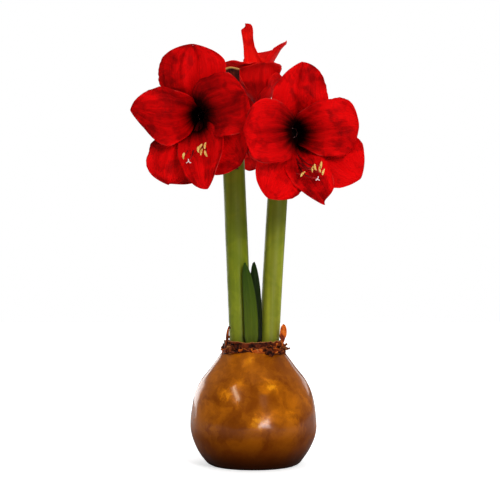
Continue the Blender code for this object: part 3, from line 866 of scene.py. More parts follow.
FLOWER_FRONT_RIGHT = dict(
    name="bloom_front_right",
    base=(32.6, -20.0, 306.9),
    axis=(0.27, -0.95, 0.0),
    up=(0, 0, 1),
    dark=(-10.0, 0.0, -13.0),
    sag=(-9.0, 0.0, -4.0),
    petals=(
        petal(OUTER, 98, 85.0, 26.6, 84, 2.2, side=3.2, hook=-8.5, fold=1.6, root=80, claw=0.4),
        petal(OUTER, 238, 104.0, 26.0, 82, 3.0, lift=-5.0, root=210, stain=9),
        petal(OUTER, 322, 94.5, 28.0, 80, 2.4, side=-3.2, lift=-5.0, root=324, stain=18),
        petal(INNER, 185.5, 99.5, 28.5, 74, 4.0, lift=5.0, claw=3.3, root=138, stain=32, widest=0.70),
        petal(INNER, 1, 74.3, 27.0, 74, 4.2, side=3.5, lift=6.0, claw=1.2, root=35, stain=16),
        petal(
            INNER, 278, 100.5, 21.5, 81, 1.9, side=-16.0, hook=21.5, lift=-4.5,
            cup=0.05, claw=1.9, root=270, slant=0.05, stain=10,
        ),
    ),
    stamens=(
        (260, 41.7, 62, 40), (269, 37.1, 70, 10), (271, 35.9, 73, -14),
        (281, 34.2, 72, 4), (279, 37.9, 70, -8), (283, 40.6, 70, 18),
    ),
    style=(272, 45.1, 77),
)
print("petals in front:", len(FLOWER_FRONT_LEFT["petals"] + FLOWER_FRONT_RIGHT["petals"]))

# %% List the flower on top and the one behind
# The painted shade of the throat reaches less far on the flower on top.
TOP_SHADE_REACH = -14
YOUNG_OUTER = dict(OUTER, stain=TOP_SHADE_REACH)
YOUNG_INNER = dict(INNER, stain=TOP_SHADE_REACH)
FLOWER_TOP = dict(
    name="bloom_top",
    base=(8.2, 26.0, 331.7),
    axis=(-0.12, 0.14, 0.98),
    up=(0, 1, 0),
    petals=(
        petal(
            YOUNG_OUTER, 278, 58.0, 24.5, 110, 2.0, side=2.0, ruffle=1.5,
            claw=0.5, opens=(0.45, 1.05), widest=0.44, root=286,
        ),
        petal(YOUNG_OUTER, 2, 41.0, 18.5, 96, 2.4, claw=0.35, opens=(0.35, 1.10)),
        petal(YOUNG_OUTER, 168, 64.0, 20.0, 62, 2.4),
        petal(YOUNG_INNER, 222, 62.0, 18.0, 74, 2.6),
        petal(
            YOUNG_INNER, 47, 65.0, 27.0, 40, 12.0, side=-4.0, hook=-2.5,
            cup=-0.1, claw=0.6, ruffle=1.5, opens=(0.45, 1.15),
        ),
        petal(
            YOUNG_INNER, 111.5, 94.2, 14.5, 4, 24.0, hook=-1.0,
            cup=1.2, ruffle=1.2, narrow=0.46, slant=0.055,
        ),
    ),
    stamens=(
        (200, 12, 44, 10), (150, 10, 45, -15), (250, 10, 42, 20),
        (300, 9, 40, 0), (90, 8, 45, 12), (20, 10, 42, -8),
    ),
    style=(190, 16, 46),
)
FLOWER_REAR = dict(
    name="bloom_rear",
    base=(-7.1, 30.0, 313.0),
    axis=(0.05, 0.99, 0.10),
    up=(0, 0, 1),
    petals=(
        petal(OUTER, 90, 66.0, 22.0, 56, 2.4, claw=1.2),
        petal(OUTER, 210, 66.0, 22.0, 56, 2.4),
        petal(OUTER, 330, 66.0, 22.0, 56, 2.4),
        petal(INNER, 30, 64.0, 20.0, 54, 2.4),
        petal(INNER, 150, 64.0, 20.0, 54, 2.4),
        petal(INNER, 270, 68.0, 20.0, 58, 2.4),
    ),
    stamens=(
        (262, 18, 62, 5), (286, 16, 60, -8), (296, 20, 58, 16),
        (276, 14, 61, 0), (304, 17, 57, -14), (250, 20, 56, 24),
    ),
    style=(270, 24, 62.3),
)
FLOWERS = (FLOWER_FRONT_LEFT, FLOWER_FRONT_RIGHT, FLOWER_TOP, FLOWER_REAR)
print("flowers:", len(FLOWERS), "with", sum(len(flower["petals"]) for flower in FLOWERS), "petals")

# %% Make the petals
PETAL_GRID = (92, 36)
PETAL_THICKNESS = 0.55
TIP_CLOSENESS = 1.5


def from_base(flower, stain):
    """How far a point lies from the middle of the painted throat shade, less the petal's reach of that shade,
    which widens it.
    """
    base = Vector(flower["base"]) + Vector(flower.get("dark", (0.0, 0.0, 0.0)))

    def distance(point):
        return (point - base).length - stain

    return distance


for flower in FLOWERS:
    for number, shape in enumerate(flower["petals"], 1):
        depth = from_base(flower, shape["stain"])
        strip = sheet(PETAL_GRID, petal_place(flower, shape), TIP_CLOSENESS, depth)
        name = f"{flower['name']}_petal_{number}"
        faces = (backlit_face if flower is FLOWER_TOP else petal_face, petal_back)
        place_piece(name, strip, faces, [flower["name"]], PETAL_THICKNESS, closed=False)
    low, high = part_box(flower["name"])
    print(flower["name"], "petals made inside", [round(size / MM) for size in high - low], "mm")

# %% [markdown]
# ## Tube, stamens and style
#
# The petals join in a short solid tube on the ovary, and a fringe of pale hairs stands inside the throat
# just above it. Six stamens and a longer style leave the throat, dip towards the flower's lower side and
# rise again at their ends. Each stamen carries a golden anther of two long halves, and the style ends in
# three pale, spreading lobes. Filaments are rods along a smooth line, which thin out towards their ends.

# %% Build the finishes of filaments and anthers


def build_filament_finish():
    """Dark red at the root, and brighter towards the anther."""
    finish, tree, surface = new_finish("filament_red", Roughness=0.35, Specular_IOR_Level=0.5)
    along = mark(tree, "along")
    spots = use_effect(tree, BLOTCHES, Place=here(tree), Scale=300.0)
    length = sums(tree, "ADD", along, times(tree, spots["Blotch"], 0.08))
    colour = ramp(
        tree, length,
        (0.12, shade(52, 2, 4)), (0.55, shade(84, 2, 6)),
        (0.80, shade(120, 6, 12)), (0.96, shade(196, 40, 40)),
    )
    feed(tree, surface["Base Color"], colour)
    feed(tree, surface["Normal"], relief(tree, spots["Grain"], 0.05))
    return finish


def build_anther_finish():
    """Golden pollen, in coarse crumbs."""
    finish, tree, surface = new_finish("anther_gold", Roughness=0.8, Specular_IOR_Level=0.2)
    pollen = clouds(tree, here(tree), 1400.0, 3.0, 0.7)
    broad = clouds(tree, here(tree), 320.0, 2.0)
    both = times(tree, sums(tree, "ADD", pollen, broad), 0.5)
    gold = ramp(tree, both, (0.36, shade(206, 124, 32)), (0.58, shade(255, 222, 130)))
    feed(tree, surface["Base Color"], gold)
    feed(tree, surface["Normal"], relief(tree, pollen, 0.35))
    return finish


filament_red = build_filament_finish()
anther_gold = build_anther_finish()
print("finishes:", filament_red.name, anther_gold.name)

# %% Build the finishes of tube, fringe and stigma
CAP_SHADE_DEPTHS = (8.0, 9.0)
FRINGE_COLOURS = ((0.3, shade(190, 90, 90)), (0.7, shade(255, 220, 214)))
STIGMA_COLOURS = ((0.35, shade(236, 176, 178)), (0.6, shade(255, 244, 240)))


def build_tube_finish():
    """Greenish brown outside, with a painted shade that makes the end deep in the throat nearly black."""
    finish, tree, surface = new_finish("tube_skin", Specular_IOR_Level=0.1)
    spots = use_effect(tree, BLOTCHES, Place=here(tree), Scale=160.0)
    skin = ramp(tree, spots["Blotch"], (0.2, shade(88, 44, 20)), (0.8, shade(124, 78, 32)))
    # The end of the tube lies deep in the throat, so it is painted nearly black for the shade there.
    throat_shade = between(tree, mark(tree, "depth"), *CAP_SHADE_DEPTHS)
    feed(tree, surface["Base Color"], blend(tree, throat_shade, skin, shade(16, 0, 0)))
    feed(tree, surface["Normal"], relief(tree, spots["Grain"], 0.08))
    return finish


def build_pale_finish(name, roughness, grain, bumps, *stops):
    """Pale and finely clouded. The grain is the scale and the detail of the clouds."""
    finish, tree, surface = new_finish(name, Roughness=roughness)
    cloud = clouds(tree, here(tree), *grain)
    feed(tree, surface["Base Color"], ramp(tree, cloud, *stops))
    feed(tree, surface["Normal"], relief(tree, cloud, bumps))
    return finish


tube_skin = build_tube_finish()
fringe_pale = build_pale_finish("fringe_pale", 0.5, (1200.0, 2.0), 0.1, *FRINGE_COLOURS)
stigma_white = build_pale_finish("stigma_white", 0.6, (900.0, 3.0), 0.2, *STIGMA_COLOURS)
print("finishes:", tube_skin.name, fringe_pale.name, stigma_white.name)

# %% Shape the tube and its fringe
TUBE_LENGTH = 9.0
TUBE_RADII = (4.7, 4.9, 5.1, 5.3, 5.0)
TUBE_SIDES = 32
FRINGE_COUNT = 24
FRINGE_RADIUS = 4.6
FRINGE_HEIGHT = 10.0
FRINGE_LENGTH = 4.2
FRINGE_RADII = (0.3, 0.3, 0.28, 0.26, 0.24, 0.2, 0.1)
FRINGE_SIDES = 6


def tube_shape(flower):
    """A short closed rod. Its points remember how far they are from the flower's base."""
    axis = flower_frame(flower)[0]
    base = Vector(flower["base"])
    steps = len(TUBE_RADII) - 1
    tube = new_shape()
    rows = [base + axis * TUBE_LENGTH * step / steps for step in range(steps + 1)]
    everything = extrude_rod(tube, rows, TUBE_RADII, TUBE_SIDES)
    depth = tube.verts.layers.float["depth"]
    for vert in everything:
        vert[depth] = (vert.co / MM - base).length
    return tube


def fringe_shape(flower):
    """Short pale hairs in a ring, each bent in its own way."""
    axis = flower_frame(flower)[0]
    base = Vector(flower["base"])
    fringe = new_shape()
    for number in range(FRINGE_COUNT):
        outward, sideways = outward_at(flower, 360.0 * number / FRINGE_COUNT)
        root = base + FRINGE_RADIUS * outward + FRINGE_HEIGHT * axis
        stray = uneven(number * 1.7, 0.3, 0.7)
        tip = root + FRINGE_LENGTH * (1.0 + 0.5 * stray) * axis - (0.6 + stray) * outward + stray * sideways
        hair = curve_through([root, root.lerp(tip, 0.5), tip], len(FRINGE_RADII) - 1)
        extrude_rod(fringe, hair, FRINGE_RADII, FRINGE_SIDES)
    return fringe


print("a fringe has", FRINGE_COUNT, "hairs")

# %% Shape filaments and styles
FILAMENT_RADII = (0.95, 0.45)
STYLE_RADII = (0.95, 0.6)
FILAMENT_SIDES = 10
STYLE_SIDES = 12
FILAMENT_ROOT = (2.0, 5.0)
FILAMENT_BENDS = ((0.22, 0.40), (0.80, 0.78))
FILAMENT_ROWS = 30
SECOND_SAG = 0.75


def filament_line(flower, tip):
    """A filament leaves the throat, sinks towards the lower side and rises to its tip."""
    degrees, radius, height = tip[:3]
    axis = flower_frame(flower)[0]
    outward = outward_at(flower, degrees)[0]
    places = [FILAMENT_ROOT]
    places += [(radius * out, height * rise) for out, rise in FILAMENT_BENDS]
    places.append((radius, height))
    base = Vector(flower["base"])
    sag = Vector(flower.get("sag", (0.0, 0.0, 0.0)))
    points = [base + out * outward + rise * axis for out, rise in places]
    points[1] += sag
    points[2] += SECOND_SAG * sag
    return curve_through(points, FILAMENT_ROWS)


def tapered(radii, count):
    """A radius at each point of a rod, halved at its very end."""
    sizes = [mix(radii[0], radii[1], step / (count - 1)) for step in range(count)]
    sizes[-1] *= 0.5
    return sizes


print("a filament has", FILAMENT_ROWS, "rows")

# %% Shape anthers and stigmas
ANTHER_HALF = Vector((1.05, 1.0, 3.0))
ANTHER_GRID = (20, 18)
ANTHER_GROOVE = 0.45
ANTHER_CRUMBS = 0.12
ANTHER_HANGS = Vector((0.0, -0.6, 1.0))
STIGMA_REACH = 2.5
STIGMA_RADII = (*[0.42] * 7, 0.38, 0.24)
STIGMA_SIDES = 10


def add_anther(bm, place, tilt):
    """Two long halves with a groove between them, hung at their middle."""
    across, around = ANTHER_GRID
    verts = bmesh.ops.create_uvsphere(bm, u_segments=across, v_segments=around, radius=1.0)["verts"]
    for vert in verts:
        x, y, z = vert.co
        groove = 1.0 - ANTHER_GROOVE * bump_at(x, 0.0, 0.3) * (1.0 if y < 0 else 0.2)
        slim = 1.0 - 0.25 * z * z
        crumb = 1.0 + ANTHER_CRUMBS * uneven(4.0 * x + tilt, 4.0 * y, 5.0 * z)
        vert.co = Vector((x * slim * crumb + 0.5 * z * z, y * groove * crumb, z)) * ANTHER_HALF * MM
    turn = Matrix.Rotation(math.radians(tilt), 3, "Y")
    bmesh.ops.rotate(bm, verts=verts, cent=(0, 0, 0), matrix=turn)
    bmesh.ops.translate(bm, verts=verts, vec=(place + ANTHER_HANGS) * MM)


def add_stigma(bm, line):
    """Three short lobes that spread and curl back from the end of the style."""
    heading = (line[-1] - line[-2]).normalized()
    side = heading.cross(UP).normalized()
    for third in range(3):
        turn = Matrix.Rotation(math.tau * third / 3 + 0.5, 3, heading)
        out = turn @ side
        ends = [line[-1] - 0.4 * heading, line[-1] + 0.9 * heading + 0.5 * STIGMA_REACH * out]
        ends.append(line[-1] + 0.5 * heading + STIGMA_REACH * out)
        extrude_rod(bm, curve_through(ends, len(STIGMA_RADII) - 1), STIGMA_RADII, STIGMA_SIDES)


print("an anther is", 2 * ANTHER_HALF.z, "mm long")

# %% Make tubes, stamens and styles
for flower in FLOWERS:
    name = flower["name"]
    place_piece(name + "_tube", tube_shape(flower), [tube_skin], [name])
    place_piece(name + "_fringe", fringe_shape(flower), [fringe_pale], [name])
    filaments = new_shape()
    anthers = new_shape()
    stigma = new_shape()
    for tip in flower["stamens"]:
        line = filament_line(flower, tip)
        extrude_rod(filaments, line, tapered(FILAMENT_RADII, len(line)), FILAMENT_SIDES)
        add_anther(anthers, line[-1], tip[3])
    line = filament_line(flower, flower["style"])
    extrude_rod(filaments, line, tapered(STYLE_RADII, len(line)), STYLE_SIDES)
    add_stigma(stigma, line)
    place_piece(name + "_filaments", filaments, [filament_red], [name])
    place_piece(name + "_anthers", anthers, [anther_gold], [name])
    place_piece(name + "_stigma", stigma, [stigma_white], [name])
print("stamens:", sum(len(flower["stamens"]) for flower in FLOWERS))

# %% [markdown]
# ## The stalks
#
# A flower stalk is a thick, hollow, almost round stem with a waxy bloom and faint lengthwise ribs. At its
# top the short flower stalks part, and each swells into the ovary behind its flower. They grew as one
# piece, so the rods are joined by a Boolean into one skin.

# %% Build the stalk finish
STALK_FOOT = 105.0
STALK_HEAD = 290.0


def build_stalk_finish():
    """Yellow-green at the foot and deeper above, partly as painted shadow, with painted light on the right,
    and fibres, bands and spots.
    """
    finish, tree, surface = new_finish("stalk_green", Specular_IOR_Level=0.12)
    place = here(tree)
    height = axes(tree, place)[2]
    rise = between(tree, height, STALK_FOOT * MM, STALK_HEAD * MM)
    fibre = clouds(tree, stretched(tree, place, (260.0, 260.0, 5.0)), 1.0, 3.0)
    band = clouds(tree, stretched(tree, place, (75.0, 75.0, 3.0)), 1.0, 2.0)
    spots = use_effect(tree, BLOTCHES, Place=place, Scale=70.0)
    # Deeper green above: partly the stalk's own colour, and partly a painted shadow of the flowers over its
    # head.
    greens = (0.0, shade(142, 152, 38)), (0.35, shade(126, 138, 26)), (1.0, shade(106, 118, 20))
    green = ramp(tree, rise, *greens)
    # The right stalk is painted brighter and yellower, for the light on it, least near its head.
    painted_light = times(tree, between(tree, axes(tree, place)[0], 2.0 * MM, 12.0 * MM), 0.55)
    painted_light = times(tree, painted_light, between(tree, rise, 0.0, 0.9, 1.0, 0.2))
    green = blend(tree, painted_light, green, shade(220, 222, 66))
    # Over that lie broad dark bands, fine pale fibres and soft spots of a deeper green.
    green = blend(tree, between(tree, band, 0.42, 0.66, 0.0, 0.6), green, shade(84, 84, 16))
    green = blend(tree, between(tree, fibre, 0.35, 0.7, 0.0, 0.3), green, shade(150, 164, 50))
    green = blend(tree, times(tree, spots["Blotch"], 0.25), green, shade(74, 100, 20))
    feed(tree, surface["Base Color"], green)
    feed(tree, surface["Roughness"], between(tree, spots["Blotch"], 0.0, 1.0, 0.36, 0.5))
    rough = relief(tree, spots["Grain"], 0.08)
    feed(tree, surface["Normal"], relief(tree, fibre, 0.35, rough))
    return finish


stalk_green = build_stalk_finish()
print("stalk finish:", stalk_green.name)

# %% Shape a stalk
NECK_TOP = 107.0
ROOT_DEPTH = 24.0
LEFT_STALK = dict(foot=(-11.9, 0.0), bend=(-15.4, 0.0, 200.0), top=(-19.0, 1.0, 287.0), radius=10.4)
RIGHT_STALK = dict(foot=(14.5, 0.0), bend=(18.8, 0.0, 190.0), top=(24.0, 1.0, 274.0), radius=9.4)
SCAPES = (
    dict(name="scape_left", stalk=LEFT_STALK, flowers=(FLOWER_FRONT_LEFT, FLOWER_REAR)),
    dict(name="scape_right", stalk=RIGHT_STALK, flowers=(FLOWER_FRONT_RIGHT, FLOWER_TOP)),
)
STALK_ROWS = 60
STALK_SIDES = 56
# Heights above the head and shares of the radius there.
STALK_DOME = ((1.6, 0.97), (3.0, 0.87), (4.2, 0.70), (5.0, 0.48))
STALK_DENT = 0.22


def stalk_shape(stalk):
    """A thick rod with a domed head, a little uneven as it grew."""
    radius = stalk["radius"]
    top = Vector(stalk["top"])
    foot = Vector((*stalk["foot"], NECK_TOP - ROOT_DEPTH))
    neck = Vector((*stalk["foot"], NECK_TOP + 2.0))
    line = [foot, *curve_through([neck, Vector(stalk["bend"]), top], STALK_ROWS)]
    radii = [radius] * len(line)
    for rise, share in STALK_DOME:
        line.append(top + rise * UP)
        radii.append(share * radius)
    bm = new_shape()
    extrude_rod(bm, line, radii, STALK_SIDES)
    for vert in bm.verts:
        way = Vector((vert.co.x, vert.co.y, 0.0)) - Vector((line[0].x, line[0].y, 0.0)) * MM
        dent = uneven(vert.co.x * 90.0, vert.co.y * 90.0, vert.co.z * 12.0)
        vert.co += way.normalized() * STALK_DENT * MM * dent
    return bm


print("a stalk is a rod of", STALK_ROWS + len(STALK_DOME) + 2, "rings")

# %% Shape a short flower stalk
STALKLET_RADIUS = 3.4
STALKLET_ROWS = 24
STALKLET_SIDES = 28
STALKLET_SINKS = 5.0
OVARY_LENGTH = 15.0
OVARY_RADIUS = 4.9
OVARY_ROWS = 14
GAP = 0.3


def stalklet_shape(stalk, flower):
    """A short stalk that leaves the head and swells into the ovary behind its flower."""
    axis = flower_frame(flower)[0]
    end = Vector(flower["base"]) - GAP * axis
    start = end - OVARY_LENGTH * axis
    root = Vector(stalk["top"]) - STALKLET_SINKS * UP
    away = start - root
    shoulder = root + 0.25 * away + 0.30 * away.length * UP
    line = curve_through([root, shoulder, start - 6.0 * axis, start], STALKLET_ROWS)
    radii = [STALKLET_RADIUS * (1.0 + 0.3 * (1.0 - smooth(step, 0, 8))) for step in range(len(line))]
    for step in range(1, OVARY_ROWS + 1):
        along = step / OVARY_ROWS
        line.append(start.lerp(end, along))
        radii.append(mix(STALKLET_RADIUS, OVARY_RADIUS, math.sin(math.pi * min(along * 0.62, 0.5)) ** 1.5))
    bm = new_shape()
    extrude_rod(bm, line, radii, STALKLET_SIDES)
    return bm


print("an ovary is", OVARY_LENGTH, "mm long")

# %% Make the stalks


def loose_object(name, bm):
    """A closed shape as an object of its own, for a Boolean."""
    bmesh.ops.recalc_face_normals(bm, faces=bm.faces)
    return add_to_scene(name, mesh_from(name, bm))


def join_shapes(name, shapes):
    """One skin round all the closed shapes, as a new mesh."""
    body, *others = [loose_object(f"{name}_{number}", bm) for number, bm in enumerate(shapes)]
    for other in others:
        union = body.modifiers.new("Join", "BOOLEAN")
        union.operation = "UNION"
        union.object = other
        union.solver = "EXACT"
    bpy.context.view_layer.update()
    graph = bpy.context.evaluated_depsgraph_get()
    joined = bmesh.new()
    joined.from_mesh(body.evaluated_get(graph).to_mesh())
    for thing in (body, *others):
        bpy.data.objects.remove(thing, do_unlink=True)
    return joined


for scape in SCAPES:
    shapes = [stalk_shape(scape["stalk"])]
    shapes += [stalklet_shape(scape["stalk"], flower) for flower in scape["flowers"]]
    joined = join_shapes(scape["name"], shapes)
    place_piece(scape["name"] + "_stem", joined, [stalk_green], [scape["name"]])
    print(scape["name"], "joined from", len(shapes), "rods")

# %% [markdown]
# ## Leaves and withered bracts
#
# Two young strap leaves stand in front of the stalks: thick, dark green and folded a little along the
# middle. The rear one is painted darker than the other, for the shade that it stands in. The bracts that
# once wrapped the buds have dried to thin brown paper and hang at the stalks' heads. One more, long and
# nearly black with a golden edge, rises from the left stalk between the flowers. Leaves and bracts are all
# sheets. The leaf keeps an even thickness, and the bract is wrinkled lengthwise.

# %% Build the leaf finishes


def build_leaf_finish(name, tip, middle, root):
    """Three greens from root to tip, with streaks, veins and edges darkened by painted shade."""
    finish, tree, surface = new_finish(name, Specular_IOR_Level=0.12)
    along, across = mark(tree, "along"), mark(tree, "across")
    veins = use_effect(tree, VEINS, Along=along, Across=across, Count=5.0, Shift=(3.0, 1.0, 2.0))
    spots = use_effect(tree, BLOTCHES, Place=here(tree), Scale=80.0)
    green = ramp(tree, along, (0.3, root), (0.55, middle), (0.95, tip))
    green = blend(tree, times(tree, veins["Streak"], 0.4), green, tip)
    green = blend(tree, times(tree, veins["Vein"], 0.2), green, root)
    # The edges are painted dark for the shade in the narrow gaps beside the leaf.
    edge = between(tree, sums(tree, "ABSOLUTE", across), 0.84, 0.98)
    green = blend(tree, times(tree, edge, 0.75), green, shade(22, 30, 10))
    feed(tree, surface["Base Color"], green)
    feed(tree, surface["Roughness"], between(tree, spots["Blotch"], 0.0, 1.0, 0.35, 0.5))
    feed(tree, surface["Normal"], relief(tree, veins["Vein"], 0.2, relief(tree, spots["Grain"], 0.06)))
    return finish


leaf_green = build_leaf_finish("leaf_green", shade(46, 76, 14), shade(84, 104, 16), shade(100, 114, 22))
# The rear leaf is a shaded copy, painted darker for the shade that it stands in.
leaf_shaded = build_leaf_finish("leaf_shaded", shade(30, 50, 12), shade(24, 34, 8), shade(20, 22, 6))
print("leaf finishes:", leaf_green.name, leaf_shaded.name)

# %% Build the finishes of the bracts


def build_paper_finish(name, pale, middle, dark, scale, edge=None, worn=0.84):
    """Dry skin with darker folds, a dark root, and an edge that is pale from the worn place on."""
    finish, tree, surface = new_finish(name, Specular_IOR_Level=0.12)
    along = mark(tree, "along")
    spots = use_effect(tree, BLOTCHES, Place=here(tree), Scale=scale)
    fibre = clouds(tree, stretched(tree, here(tree), (500.0, 500.0, 60.0)), 1.0, 2.0)
    colour = ramp(tree, spots["Blotch"], (0.05, dark), (0.45, middle), (1.0, pale))
    colour = blend(tree, between(tree, fibre, 0.5, 0.8, 0.0, 0.4), colour, dark)
    colour = blend(tree, between(tree, along, 0.0, 0.35, 0.8, 0.0), colour, dark)
    colour = blend(tree, between(tree, along, worn, 1.0, 0.0, 0.8), colour, edge or pale)
    feed(tree, surface["Base Color"], colour)
    feed(tree, surface["Roughness"], between(tree, spots["Blotch"], 0.0, 1.0, 0.45, 0.75))
    feed(tree, surface["Normal"], relief(tree, fibre, 0.4, relief(tree, spots["Grain"], 0.25)))
    return finish


bract_paper = build_paper_finish(
    "bract_paper", shade(206, 150, 96), shade(150, 88, 50), shade(82, 38, 22), 120.0
)
bract_scrap = build_paper_finish(
    "bract_scrap", shade(92, 34, 22), shade(54, 14, 10), shade(30, 4, 4), 120.0, shade(255, 214, 120), 0.978
)
print("bract finishes:", bract_paper.name, bract_scrap.name)

# %% Make the leaves
LEAVES = (
    dict(name="leaf_front", root=(-1.9, -14.8), width=6.5, lean=(-6.3, -1.0), height=188.0),
    dict(name="leaf_back", root=(2.2, -10.1), width=5.6, lean=(-2.1, -0.4), height=188.5),
)
LEAF_GRID = (110, 24)
LEAF_CLOSENESS = 1.2
LEAF_THICKNESS = 2.0
LEAF_ROOT_WIDTH = 5.4
LEAF_ROOT_TOP = 112.0
LEAF_FOLD = 1.6


def leaf_place(leaf):
    """A strap leaf, folded along its middle, that leans a little as it rises from the bulb."""
    foot = NECK_TOP - ROOT_DEPTH
    reach = leaf["height"] - LEAF_ROOT_TOP
    lean_x, lean_y = leaf["lean"]
    x, y = leaf["root"]

    def place(u, v):
        z = mix(foot, leaf["height"], u)
        free = max((z - LEAF_ROOT_TOP) / reach, 0.0)
        width = mix(LEAF_ROOT_WIDTH, leaf["width"], smooth(free, 0.0, 0.12)) * max(1.0 - free**3, 0.0) ** 0.6
        fold = LEAF_FOLD * smooth(free, 0.0, 0.3) * v * v * width / leaf["width"]
        fold += 0.25 * uneven(6.0 * u, 2.0 * v, x) * smooth(free, 0.0, 0.2)
        return Vector((x + lean_x * free**2.2 + v * width, y + lean_y * free**2 + fold, z))

    return place


for leaf, finish in zip(LEAVES, (leaf_green, leaf_shaded)):
    strip = sheet(LEAF_GRID, leaf_place(leaf), LEAF_CLOSENESS)
    name = leaf["name"]
    place_piece(name + "_blade", strip, [finish], [name], LEAF_THICKNESS, closed=False)
print("leaves:", len(LEAVES))

# %% Make the bracts
BRACTS = (
    dict(name="bract_left_rear", stalk=LEFT_STALK, side=120.0, length=42.0),
    dict(name="bract_left_front", stalk=LEFT_STALK, side=250.0, length=36.0),
    dict(name="bract_right_side", stalk=RIGHT_STALK, side=0.0, length=40.0),
    dict(name="bract_right_front", stalk=RIGHT_STALK, side=225.0, length=34.0),
)
BRACT_GRID = (60, 28)
BRACT_WIDTH = 8.0
BRACT_THICKNESS = 0.4
BRACT_ROOT_DROP = 12.0
BRACT_CURL = 0.30
BRACT_WRINKLE = 0.9


def plant_side(degrees):
    """The directions away from the plant's middle, and round it, at one side of it.

    The sides of the plant are counted in degrees, from the camera's right over the back.
    """
    turn = math.radians(degrees)
    outward = Vector((math.cos(turn), math.sin(turn), 0.0))
    return outward, UP.cross(outward)


def bract_place(bract):
    """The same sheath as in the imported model, with fine folds along it."""
    stalk = bract["stalk"]
    length = bract["length"]
    out, along = plant_side(bract["side"])
    rising = (Vector(stalk["top"]) - Vector(stalk["bend"])).normalized()
    root = Vector(stalk["top"]) + out * (stalk["radius"] + 1.0) - rising * BRACT_ROOT_DROP

    def place(u, v):
        width = BRACT_WIDTH * (1.0 - 0.15 * u) * max(1.0 - u**3, 0.0) ** 0.7
        across = v * width
        hug = across**2 / (2.0 * stalk["radius"]) * (1.0 - 0.6 * smooth(u, 0.2, 0.7))
        away = BRACT_CURL * length * u**2 - hug + 0.8 * math.sin(9.0 * u) * v
        away += BRACT_WRINKLE * uneven(1.5 * u, 7.0 * v, bract["side"]) * smooth(u, 0.0, 0.4)
        return root + out * away + along * across + rising * length * (u - 0.12 * u**3)

    return place


for bract in BRACTS:
    strip = sheet(BRACT_GRID, bract_place(bract))
    name = bract["name"]
    place_piece(name + "_sheath", strip, [bract_paper], [name], BRACT_THICKNESS, closed=False)
print("bracts:", len(BRACTS))

# %% Make the long bract between the flowers
SCRAP_GRID = (80, 30)
SCRAP_CLOSENESS = 1.4
SCRAP_ROOT = (-15.6, -10.2, 278.0)
SCRAP_ROOT_WIDTH = 3.4
SCRAP_BOW = 5.0
SCRAP_EDGE = (
    (-30.7, -34.0, 360.6), (-28.0, -33.0, 364.3), (-24.3, -32.0, 366.6),
    (-19.8, -31.0, 367.4), (-13.0, -30.0, 366.0),
)


def scrap_place(edge):
    """A long dry bract that rises from the stalk's head. Its upper edge shows between the flowers."""

    def place(u, v):
        top = edge[round((v + 1.0) / 2.0 * (len(edge) - 1))]
        root = Vector(SCRAP_ROOT) + Vector((SCRAP_ROOT_WIDTH * v, 0.8 * v * v, 0.0))
        bow = SCRAP_BOW * math.sin(math.pi * u) + 0.9 * uneven(5.0 * u, 5.0 * v, 2.0) * smooth(u, 0.0, 0.3)
        return root.lerp(top, u) + Vector((0.0, bow * smooth(u, 0.0, 0.2), 0.0))

    return place


scrap_line = curve_through([Vector(point) for point in SCRAP_EDGE], SCRAP_GRID[1])
scrap = sheet(SCRAP_GRID, scrap_place(scrap_line), SCRAP_CLOSENESS)
place_piece("bract_scrap", scrap, [bract_scrap], thickness=BRACT_THICKNESS, closed=False)
print("the long bract rises to", max(point[2] for point in SCRAP_EDGE), "mm")

# %% [markdown]
# ## The coat of wax
#
# The bulb was dipped in copper-coloured wax. Where the coat is thick it is brown, and where it pooled
# thin it glows orange, in swirls. It is not quite smooth, and a painted shade darkens it towards the foot.
# A clear coat makes it glossy, except near the foot. A turned outline gives the shape, and a slight
# unevenness takes the lathe out of it. The swirls come from clouds that are bent by other clouds, with
# some brighter patches where the coat is thinnest.

# %% List the bright patches of the wax
WAX_WARP = 0.022
# Middle, radius and strength of each bright patch.
WAX_PATCHES = (
    ((11.0, -50.0, 79.0), 7.5, 1.3),
    ((19.0, -47.0, 79.0), 6.0, 1.1),
    ((15.0, -51.0, 73.0), 6.0, 1.2),
    ((-28.0, -44.0, 71.0), 5.0, 1.1),
    ((-21.0, -49.0, 68.0), 4.0, 0.9),
    ((-17.0, -53.0, 62.0), 4.0, 0.7),
    ((3.0, -58.0, 47.0), 9.0, 0.8),
    ((16.0, -56.0, 48.0), 8.0, 0.3),
    ((32.0, -48.0, 50.0), 6.0, 0.5),
    ((-4.0, -33.0, 99.0), 6.0, 0.45),
    ((-14.0, -44.0, 80.0), 6.0, 0.4),
    ((50.0, 20.0, 60.0), 10.0, 0.7),
    ((46.0, -28.0, 66.0), 7.0, 0.5),
    ((-48.0, 30.0, 50.0), 12.0, 0.7),
    ((-10.0, 56.0, 66.0), 11.0, 0.8),
    ((30.0, 46.0, 40.0), 10.0, 0.6),
)


def bent_place(tree):
    """A point's place, moved about by clouds of colour, so that patterns on it swirl."""
    place = here(tree)
    bend = tree.nodes.new("ShaderNodeTexNoise")
    feed(tree, bend.inputs["Vector"], place)
    bend.inputs["Scale"].default_value = 70.0
    bend.inputs["Detail"].default_value = 5.0
    bend.inputs["Roughness"].default_value = 0.62
    warp = tree.nodes.new("ShaderNodeVectorMath")
    warp.operation = "MULTIPLY_ADD"
    feed(tree, warp.inputs[0], bend.outputs["Color"])
    warp.inputs[1].default_value = (WAX_WARP, WAX_WARP, WAX_WARP)
    feed(tree, warp.inputs[2], place)
    return warp.outputs["Vector"]


